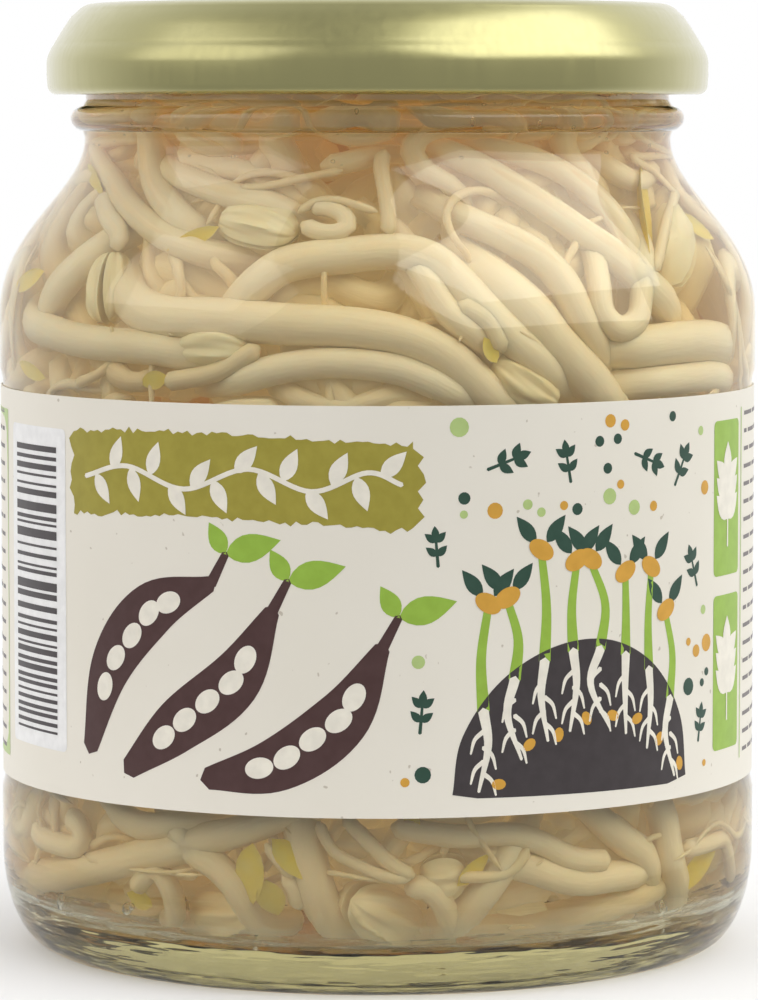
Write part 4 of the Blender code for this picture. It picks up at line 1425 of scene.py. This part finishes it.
# %% Kinds of beans, and where they go
HALF_SHUT = [(11.0, 5.2, 2.5, 1, 0.02), (11.0, 5.2, 2.5, -1, 0.10)]
OPEN = [(12.0, 5.0, 2.3, 1, 0.22), (11.4, 5.0, 2.3, -1, 0.22)]
SINGLE = [(10.4, 5.4, 2.6, 1, 0.0)]
FRONT_LENGTH, LOOSE_LENGTH = 10.4 * MM, 6.4 * MM  # of a chain's bean part, when its bean has full size
bean_rows = {True: [], False: []}
for chain in chains:
    if not chain["bean"]:
        continue
    tip, middle, base = chain["points"][:3]
    outward = (middle[0], middle[1], 0.0)
    usual = FRONT_LENGTH if chain["seen"] else LOOSE_LENGTH
    stretch = min(1.15, np.linalg.norm(tip - base) / usual)
    size = (stretch, chance.uniform(0.85, 1.0), chance.uniform(0.85, 1.0))
    kind = 0 if chain["seen"] else int(chance.integers(0, 3))
    turn = frame_turn(tip - base, outward, chain["roll"])
    bean_rows[chain["seen"]].append((middle, turn, size, kind, chain["tint"]))
print("beans at the front", len(bean_rows[True]), "and loose", len(bean_rows[False]))

# %% Place the beans
front_kinds = [bean_kind("front_bean", 23, 31, HALF_SHUT)]
place_kinds("sprout_beans_front", front_kinds, bean_skin, bean_rows[True], 0.3)
loose_kinds = [bean_kind(f"bean_{i}", 7, 7, parts) for i, parts in enumerate((HALF_SHUT, OPEN, SINGLE))]
place_kinds("sprout_beans", loose_kinds, bean_skin, bean_rows[False])

# %% [markdown]
# ## Leaves
# The first pair of leaves is thin and bright yellow, because it grew in the dark. Some leaves at the
# front are placed one by one, between two points in the view, and more stand in pairs at the loose beans.

# %% Leaf flesh
leaf_skin = Finish("young leaf")
leaf_tint = leaf_skin.add("ShaderNodeAttribute", {"attribute_name": "tint"}).outputs["Fac"]
leaf_tones = [(0.0, (0.93, 0.66, 0.07)), (0.6, (0.88, 0.66, 0.12)), (1.0, (0.62, 0.54, 0.12))]
leaf_base = leaf_skin.ramp(leaf_tint, leaf_tones)
leaf_cloud = leaf_skin.noise(400.0, 3.0)
leaf_soft = leaf_skin.mix(leaf_skin.span(leaf_cloud, 0.4, 0.7, 0.0, 0.5), leaf_base, (0.84, 0.70, 0.26))
fleshy(leaf_skin, leaf_soft, 0.5 * MM)
leaf_skin.look(Normal=leaf_skin.bump(leaf_cloud, 0.2, 0.0002))

# %% Leaves at the front
leaf_rows = []
for base, tip, width in LEAVES_IN_FRONT:
    ends = drawn_in([at_the_front(*base), at_the_front(*tip)], -1.0 * MM)
    length = np.linalg.norm(ends[1] - ends[0])
    turn = frame_turn(ends[1] - ends[0], (ends[0][0], ends[0][1], 0.0), chance.normal(0.0, 12.0))
    size = (length, width * MM, length * 0.4)
    leaf_rows.append((ends[0], turn, size, int(chance.integers(0, 2)), chance.uniform(0, 0.5)))
print("leaves at the front", len(leaf_rows))

# %% Leaves at the loose beans
WITH_LEAVES = 0.55              # share of the loose beans
for chain in chains:
    if not chain["bean"] or chain["seen"] or chance.random() > WITH_LEAVES:
        continue
    tip, middle, base = chain["points"][:3]
    way = (tip - base) / np.linalg.norm(tip - base)
    for fork in (-1.0, 1.0):
        lean = way + 0.35 * fork * np.cross(way, (0.0, 0.0, 1.0)) + 0.1 * chance.normal(size=3)
        length = chance.uniform(5.0, 9.0) * MM
        turn = frame_turn(lean, (tip[0], tip[1], 0.0), chance.uniform(-60, 60))
        root = middle + way * 2.5 * MM
        end = root + lean * length
        if np.hypot(end[0], end[1]) < room(end[2]) + MM and SPROUT_TOP > end[2] > 8.0 * MM:
            size = (length, 2.4 * MM, 0.4 * length)
            leaf_rows.append((root, turn, size, int(chance.integers(0, 2)), chance.random()))
leaf_kinds = [leaf_kind("leaf_0", 0.12, 0.25), leaf_kind("leaf_1", -0.10, 0.35)]
place_kinds("sprout_leaves", leaf_kinds, leaf_skin, leaf_rows)
print("leaves in all", len(leaf_rows))

# %% [markdown]
# ## Bubbles
# Small bubbles of air cling to the inside of the glass under the liquid's top, and a few lie near the
# floor. Air in liquid bends light the other way, so the bubbles' own bending number is below one. Each is
# a ball with few faces, and the same tree as before puts them in place.


# %% A bubble
def bubble_kind():
    """A small ball: rings of points from its foot to its top."""
    vertices, faces = [(0.0, 0.0, -1.0)], []
    around, levels = 8, 4
    for level in range(1, levels + 1):
        tilt = -math.pi / 2 + math.pi * level / (levels + 1)
        for step in range(around):
            turn = 2 * math.pi * step / around
            wide = math.cos(tilt)
            vertices.append((wide * math.cos(turn), wide * math.sin(turn), math.sin(tilt)))
    vertices.append((0.0, 0.0, 1.0))
    for step in range(around):
        after = (step + 1) % around
        faces.append((0, 1 + after, 1 + step))
        for level in range(levels - 1):
            a, b = 1 + level * around + step, 1 + level * around + after
            faces.append((a, b, b + around, a + around))
        faces.append((1 + (levels - 1) * around + step, 1 + (levels - 1) * around + after, len(vertices) - 1))
    mesh = bpy.data.meshes.new("bubble")
    mesh.from_pydata(vertices, [], faces)
    return bpy.data.objects.new("bubble", mesh)


# %% Air, and where the bubbles cling
BUBBLES = 90
OFF_THE_GLASS = 0.12 * MM
air = Finish("air bubble")
air.look(Base_Color=(1.0, 1.0, 1.0), Roughness=air.span(air.noise(300.0), 0.3, 0.7, 0.0, 0.03), IOR=0.75)
air.shader.inputs["Transmission Weight"].default_value = 1.0
air.let_light_through((1.0, 1.0, 1.0))
bubble_rows = []
for number in range(BUBBLES):
    low = number % 6 == 0
    height = (chance.uniform(5.0, 9.0) if low else 88.5 - abs(chance.normal(0.0, 3.5))) * MM
    radius = (chance.uniform(0.25, 0.6) if low else chance.uniform(0.10, 0.28)) * MM
    wall = float(np.interp(height, inner_face[:, 0], inner_face[:, 1])) - radius - OFF_THE_GLASS
    place = polar(chance.uniform(-180.0, 180.0), wall, height)
    bubble_rows.append((place, (0.0, 0.0, 0.0), (radius, radius, radius), 0, 0.0))
place_kinds("bubbles", [bubble_kind()], air, bubble_rows, 1.0, "brine", "brine")

# %% [markdown]
# ## The label
# A strip of coated paper, glued round the body. It is made as a thin curved band with both faces and all
# four edges, so its lower edge throws the fine shadow line that a real label shows. Its two ends don't
# meet at the back, where the glass shows between them.

# %% Sizes of the label
PAPER_IN = PANEL_RADIUS + 0.03 * MM
PAPER_OUT = 39.9 * MM
LABEL_HALF_SPAN = 171.0
COLUMNS = 240
print("paper", round((PAPER_OUT - PAPER_IN) / MM, 2), "mm thick")
print("bare at the back over", 360 - 2 * LABEL_HALF_SPAN, "degrees")


# %% A curved band
def band(name, columns, half_span, inner, outer, foot, top):
    """A curved strip with thickness."""
    vertices, faces = [], []
    rows = [(inner, foot), (outer, foot), (outer, top), (inner, top)]
    for column in range(columns + 1):
        angle = -half_span + 2 * half_span * column / columns
        vertices += [polar(angle, radius, height) for radius, height in rows]
    for column in range(columns):
        a, b = 4 * column, 4 * (column + 1)
        for i in range(4):
            j = (i + 1) % 4
            faces.append((a + i, b + i, b + j, a + j))
    last = 4 * columns
    faces += [(0, 1, 2, 3), (last + 3, last + 2, last + 1, last)]
    return new_piece(name, vertices, faces)


# %% [markdown]
# ## Paper
# The paper is cream and smooth, with a few brown fibres in it. A very fine noise gives its tooth, a slow
# one makes its tone uneven, and where a third one peaks there is a speck.

# %% Cream paper
label = band("label_fine", COLUMNS, LABEL_HALF_SPAN, PAPER_IN, PAPER_OUT, LABEL_FOOT, LABEL_TOP)
paper = Finish("cream paper")
paper_fibre = paper.noise(900.0, 4.0)
paper_cloud = paper.noise(35.0, 3.0)
paper_tone = paper.ramp(paper_cloud, [(0.3, (0.87, 0.83, 0.72)), (0.7, (0.91, 0.87, 0.77))])
paper_specks = paper.span(paper.noise(1100.0, 1.0), 0.755, 0.79, 0.0, 0.6)
SPECK = (0.45, 0.38, 0.28)
paper.look(Base_Color=paper.mix(paper_specks, paper_tone, SPECK), Roughness=0.5,
           Normal=paper.bump(paper_fibre, 0.08, 0.0001))
wear(label, paper, "jar", "label_paper", "label")

# %% [markdown]
# ## The print
# The real label is printed in flat inks on cream paper. An image could carry the print, but this jar has
# none, so each ink is a very thin sheet just above the paper. The motifs are drawn flat first, in
# millimetres along the label and up the jar, as closed outlines: bean pods, seedlings in dark earth,
# leaves, dots and stripes. The outlines of one ink are then filled together with small triangles, so that
# the sheet follows the jar's curve.


# %% Plain outlines
def laid(outline, x, y, tilt):
    """An outline turned by some degrees and moved to its place."""
    c, s = math.cos(math.radians(tilt)), math.sin(math.radians(tilt))
    return [(x + c * a - s * b, y + s * a + c * b) for a, b in outline]


def oval(x, y, wide, tall, tilt=0.0, steps=28):
    """A closed oval, tilted in degrees."""
    turns = np.linspace(0, 2 * math.pi, steps, False)
    return laid([(wide / 2 * math.cos(t), tall / 2 * math.sin(t)) for t in turns], x, y, tilt)


def leaf(x, y, length, width, tilt, steps=9):
    """A leaf from its base, pointed at both ends."""
    run = np.linspace(0.0, 1.0, steps)
    upper = [(t * length, width / 2 * math.sin(math.pi * t ** 0.8)) for t in run]
    lower = [(along, -out) for along, out in upper[-2:0:-1]]
    return laid(upper + lower, x, y, tilt)


def block(x, y, wide, tall, corner=0.6):
    """A rectangle with rounded corners, from its lower left."""
    outline = []
    left, right, foot, top = x + corner, x + wide - corner, y + corner, y + tall - corner
    for cx, cy, first in ((right, foot, -90), (right, top, 0), (left, top, 90), (left, foot, 180)):
        for turn in np.radians(np.linspace(first, first + 90, 4)):
            outline.append((cx + corner * math.cos(turn), cy + corner * math.sin(turn)))
    return outline


# %% Brush strokes and sprigs
def stroke(corners, widths, steps=10):
    """A brush stroke through a few corners, with its width at each of them."""
    corners = np.array([(x, y, wide) for (x, y), wide in zip(corners, widths)])
    ends = np.array([2 * corners[0] - corners[1], *corners, 2 * corners[-1] - corners[-2]])
    line = []
    for t in np.linspace(0, len(corners) - 1, steps * (len(corners) - 1) + 1):
        i = min(int(t), len(corners) - 2)
        u = t - i
        a, b, c, d = ends[i:i + 4]
        line.append(0.5 * (2 * b + (c - a) * u + (2 * a - 5 * b + 4 * c - d) * u ** 2
                           + (3 * b - a - 3 * c + d) * u ** 3))
    line, half = np.array(line)[:, :2], np.array(line)[:, 2:] / 2
    way = np.gradient(line, axis=0)
    way /= np.linalg.norm(way, axis=1)[:, None]
    across = np.stack([-way[:, 1], way[:, 0]], axis=1) * half
    outline = [*(line + across), line[-1] + 0.7 * half[-1] * way[-1], *(line - across)[::-1],
               line[0] - 0.7 * half[0] * way[0]]
    return [tuple(point) for point in outline]


def brushed_band(x, y, wide, tall):
    """A painted band with a rough, dry edge."""
    draw = np.random.default_rng(4)
    run = np.arange(0.0, wide + 0.01, 0.55)
    sway = 0.5 * np.sin(run / 9.0)
    top = [(x + a, y + tall + b + draw.normal(0.0, 0.16)) for a, b in zip(run, sway)]
    foot = [(x + a, y + b + draw.normal(0.0, 0.16)) for a, b in zip(run, sway)]
    right = [(x + wide + draw.uniform(-0.6, 0.9), y + tall * t) for t in np.linspace(0.1, 0.9, 9)]
    left = [(x - draw.uniform(-0.6, 0.9), y + tall * t) for t in np.linspace(0.9, 0.1, 9)]
    return foot + right + top[::-1] + left


def sprig(x, y, size, tilt, pairs=2):
    """Small leaves in pairs on a stalk."""
    c, s = math.cos(math.radians(tilt)), math.sin(math.radians(tilt))
    parts = [stroke([(x, y), (x + c * size, y + s * size)], [0.35, 0.25], 4)]
    for pair in range(pairs):
        along = size * (0.35 + 0.45 * pair / max(1, pairs - 1))
        for side in (-48, 48):
            parts.append(leaf(x + c * along, y + s * along, size * 0.48, size * 0.26, tilt + side, 7))
    parts.append(leaf(x + c * size * 0.9, y + s * size * 0.9, size * 0.45, size * 0.26, tilt, 7))
    return parts


# %% Inks
INKS = {
    "white": (0.88, 0.88, 0.87), "charcoal": (0.045, 0.036, 0.038), "brown": (0.070, 0.030, 0.028),
    "olive": (0.36, 0.31, 0.040), "leaf_green": (0.31, 0.50, 0.055), "pale_green": (0.46, 0.60, 0.22),
    "deep_green": (0.022, 0.070, 0.045), "ochre": (0.68, 0.36, 0.045), "cream": (0.87, 0.83, 0.72),
    "grey": (0.14, 0.12, 0.115),
}
print_draw = np.random.default_rng(21)
drawn = {name: [] for name in INKS}
over = {name: [] for name in INKS}      # what is printed on top of another ink
print("inks", len(INKS))

# %% [markdown]
# ## The motifs
# Every motif is a few lines of code, with its places in millimetres: the first number runs along the
# label from the middle of the front, and the second goes up the jar. What is printed on another ink goes
# into a second list, whose sheets lie a little higher.

# %% Band with a vine
drawn["olive"].append(brushed_band(-35.0, 47.6, 39.0, 8.4))
vine = [(-33.0, 51.5), (-27.0, 52.8), (-20.0, 50.8), (-13.0, 53.0), (-6.5, 50.9), (-1.0, 52.8), (2.4, 51.6)]
over["cream"].append(stroke(vine, [0.5] * 7))
for number in range(14):
    x = -31.5 + 2.45 * number
    y = np.interp(x, [p[0] for p in vine], [p[1] for p in vine])
    over["cream"].append(leaf(x, y, 3.6, 1.7, (58 if number % 2 else -58) + print_draw.normal(0, 8)))
print("leaves on the vine", len(over["cream"]) - 1)

# %% Pods with their beans
PODS = (((-32.5, 24.0), (-29.5, 32.5), (-24.0, 38.5), (-17.0, 41.5)),
        ((-27.0, 22.3), (-21.0, 27.0), (-14.5, 32.0), (-10.5, 39.0)),
        ((-17.5, 22.0), (-10.0, 23.8), (-3.5, 28.5), (0.5, 35.5)))
for pod in PODS:
    tip = (pod[-1][0] + 1.6, pod[-1][1] + 3.0)
    drawn["brown"].append(stroke(pod, [2.2, 5.4, 5.6, 1.6]))
    drawn["brown"].append(stroke([pod[-1], tip], [1.2, 0.8], 4))
    ways = np.diff(np.array(pod), axis=0)
    for share in (0.75, 1.15, 1.55, 1.95, 2.3):
        x = np.interp(share, range(4), [p[0] for p in pod])
        y = np.interp(share, range(4), [p[1] for p in pod])
        way = ways[min(int(share), 2)]
        over["cream"].append(oval(x, y, 3.0, 2.1, math.degrees(math.atan2(way[1], way[0]))))
    drawn["leaf_green"] += [leaf(*tip, 6.0, 2.8, 15), leaf(*tip, 3.6, 2.0, 120)]
print("pods", len(PODS))

# %% Seedlings in dark earth
EARTH = [(7.5, 20.8), (8.5, 26.5), (12.5, 32.0), (18.5, 35.2), (25.0, 35.4), (31.0, 32.4), (35.0, 27.0),
         (36.0, 20.8)]
SEEDLINGS = 8
earth_top = stroke(EARTH, [0.1] * len(EARTH))[:10 * (len(EARTH) - 1) + 1]
drawn["charcoal"].append(earth_top + [(33.0, 20.2), (10.0, 20.4)])
for number in range(SEEDLINGS):
    x = 10.6 + 3.25 * number
    y = float(np.interp(x, [p[0] for p in earth_top], [p[1] for p in earth_top])) - 1.0
    tall = print_draw.uniform(7.0, 11.0)
    bend = print_draw.uniform(-1.2, 1.2)
    top = (x + bend, y + tall)
    drawn["leaf_green"].append(stroke([(x, y), (x - bend * 0.5, y + tall * 0.5), top], [1.3, 1.0, 0.8], 7))
    over["ochre"].append(oval(top[0], top[1] + 0.3, 2.9, 1.9, 30 if number % 2 else -30))
    for side, tilt in ((-0.6, 128), (0.6, 52)):
        drawn["deep_green"].append(leaf(top[0] + side, top[1] + 1.0, 3.4, 1.5, tilt))
    over["cream"].append(stroke([(x, y), (x + bend, y - 3.5), (x - bend, y - 8.0)], [1.1, 0.8, 0.3], 7))
    for side, low in ((-1, 2.0), (1, 3.6), (-1, 5.0), (1, 6.2)):
        root = [(x, y - low), (x + 0.9 * side, y - low - 0.8), (x + 1.3 * side, y - low - 2.2)]
        over["cream"].append(stroke(root, [0.5, 0.4, 0.2], 4))
    over["ochre"].append(oval(x + 1.6, y - 4.2 - 0.3 * tall, 1.5, 1.1, 40 * number, 12))
print("seedlings", SEEDLINGS)

# %% Sprigs and dots
SPRIGS = ((11, 53, 3.6, 20), (20, 51.5, 3.2, 100), (28, 54, 3.4, -20), (34, 50.5, 3.6, 60),
          (6, 43.5, 3.0, 95), (4.2, 27, 3.2, 85), (38, 40, 3.4, 110), (38.4, 24, 3.0, 80))
taken = [(5.2, 40.8, 4.2)]      # places that are full: the end of a pod, then every sprig and dot
for x, y, size, tilt in SPRIGS:
    drawn["deep_green"] += sprig(x, y, size, tilt)
    turn = math.radians(tilt)
    taken.append((x + math.cos(turn) * size * 0.6, y + math.sin(turn) * size * 0.6, size))
for number in range(400):
    x, y = print_draw.uniform(8.0, 39.5), print_draw.uniform(48.5, 57.5)
    if number > 200:
        x, y = print_draw.choice([4.3, 38.6]) + print_draw.normal(0.0, 1.1), print_draw.uniform(21.5, 44.0)
    size = print_draw.uniform(0.35, 1.0)
    free = all(math.dist((x, y), (a, b)) > size + other + 0.5 for a, b, other in taken)
    if free and len(taken) < 90:
        taken.append((x, y, size))
        drawn[("pale_green", "ochre", "deep_green")[number % 3]].append(oval(x, y, 2 * size, 2 * size, 0, 14))
print("sprigs and dots", len(taken) - 1)


# %% Stripes
def bar(left, right, foot, thick):
    """A plain bar."""
    return [(left, foot), (right, foot), (right, foot + thick), (left, foot + thick)]


drawn["white"].append(block(-49.5, 23.0, 13.0, 33.0))
stripe = 24.6
while stripe < 54.0:
    thick = print_draw.choice([0.25, 0.4, 0.6, 0.9])
    over["charcoal"].append(bar(-48.0, -38.2, stripe, thick))
    stripe += thick + print_draw.choice([0.3, 0.45, 0.7])
print("stripes", len(over["charcoal"]))

# %% Green panels, ruled dashes and frame lines
for y in (22.5, 40.5):
    drawn["leaf_green"].append(block(41.5, y, 6.8, 16.0))
    over["cream"] += sprig(44.9, y + 3.0, 8.0, 90, 3)
for side, first, last in ((1, 50.5, 84.0), (-1, 54.0, 84.0)):
    for row in range(20):
        y = 21.5 + 1.85 * row
        x = first
        while x < last:
            long = print_draw.uniform(1.2, 4.6)
            drawn["grey"].append([(side * a, b) for a, b in bar(x, x + long, y, 0.42)])
            x += long + 0.7
for ends in (((-52.0, 21.0), (-52.0, 57.0)), ((-52.0, 57.0), (-86.0, 57.0)), ((-52.0, 21.0), (-86.0, 21.0)),
             ((-86.0, 21.0), (-86.0, 57.0)), ((49.3, 21.0), (49.3, 57.5))):
    drawn["pale_green"].append(stroke(ends, [0.35, 0.35], 2))
print("outlines", sum(len(v) for v in drawn.values()) + sum(len(v) for v in over.values()))


# %% [markdown]
# ## From outlines to sheets
# Blender's own triangulation fills all outlines of one ink at once. Points are added inside wide shapes,
# so that no triangle is long enough to cut through the paper's curve. Then every point moves from the
# flat drawing onto a cylinder just outside the paper.

# %% Small steps along an outline
FILL = 1.3                      # longest side of a triangle, in mm
CURVE = PAPER_OUT / MM


def small_steps(outline):
    """The outline with no side longer than the filling's triangles, anticlockwise."""
    area = sum(a[0] * b[1] - b[0] * a[1] for a, b in zip(outline, outline[1:] + outline[:1]))
    if area < 0:
        outline = outline[::-1]
    fine = []
    for a, b in zip(outline, outline[1:] + outline[:1]):
        parts = max(1, math.ceil(math.dist(a, b) / FILL))
        fine += [(a[0] + (b[0] - a[0]) * i / parts, a[1] + (b[1] - a[1]) * i / parts) for i in range(parts)]
    return fine


# %% Fill the outlines and lay them round the jar
def print_ink(name, outlines, lift, finish):
    """One ink's sheet: the filled outlines on a cylinder a little outside the paper."""
    flat, rings = [], []
    for outline in map(small_steps, outlines):
        rings.append(list(range(len(flat), len(flat) + len(outline))))
        flat += [Vector(p) for p in outline]
        box_low, box_high = np.min(outline, axis=0), np.max(outline, axis=0)
        if min(box_high - box_low) > 1.8 * FILL:
            for x in np.arange(box_low[0] + FILL, box_high[0], FILL):
                flat += [Vector((x, y)) for y in np.arange(box_low[1] + FILL, box_high[1], FILL)]
    points, _, faces, *_ = geometry.delaunay_2d_cdt(flat, [], rings, 1, 1e-5)
    used = sorted({index for face in faces for index in face})
    place = {index: number for number, index in enumerate(used)}
    radius = PAPER_OUT + lift * MM
    vertices = [polar(math.degrees(points[i].x / CURVE), radius, points[i].y * MM) for i in used]
    triangles = []
    for face in faces:
        a, b, c = (points[i] for i in face)
        turned_left = (b - a).cross(c - a) > 0
        triangles.append(tuple(place[i] for i in (face if turned_left else face[::-1])))
    sheet = new_piece(name, vertices, triangles)
    wear(sheet, finish, "jar", "label_paper", "label")


# %% Print every ink
LAYERS = {"print": (drawn, 0.02), "overprint": (over, 0.045)}  # and how high each lies above the paper in mm
for layer, (inks, lift) in LAYERS.items():
    for name, outlines in inks.items():
        if not outlines:
            continue
        ink = Finish(name + " ink " + layer)
        ink_cloud = ink.noise(700.0, 3.0)
        colour = INKS[name]
        light = tuple(min(1.0, part * 1.1 + 0.006) for part in colour)
        ink.look(Base_Color=ink.mix(ink.span(ink_cloud, 0.35, 0.7), colour, light), Roughness=0.42)
        print_ink(layer + "_" + name, outlines, lift, ink)

# %% [markdown]
# ## The finished jar
# At the end the size of everything that was made is measured. It has to agree with the size of the
# solids, because the fine pieces only dress the model.

# %% Sizes of the finished model
low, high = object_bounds()
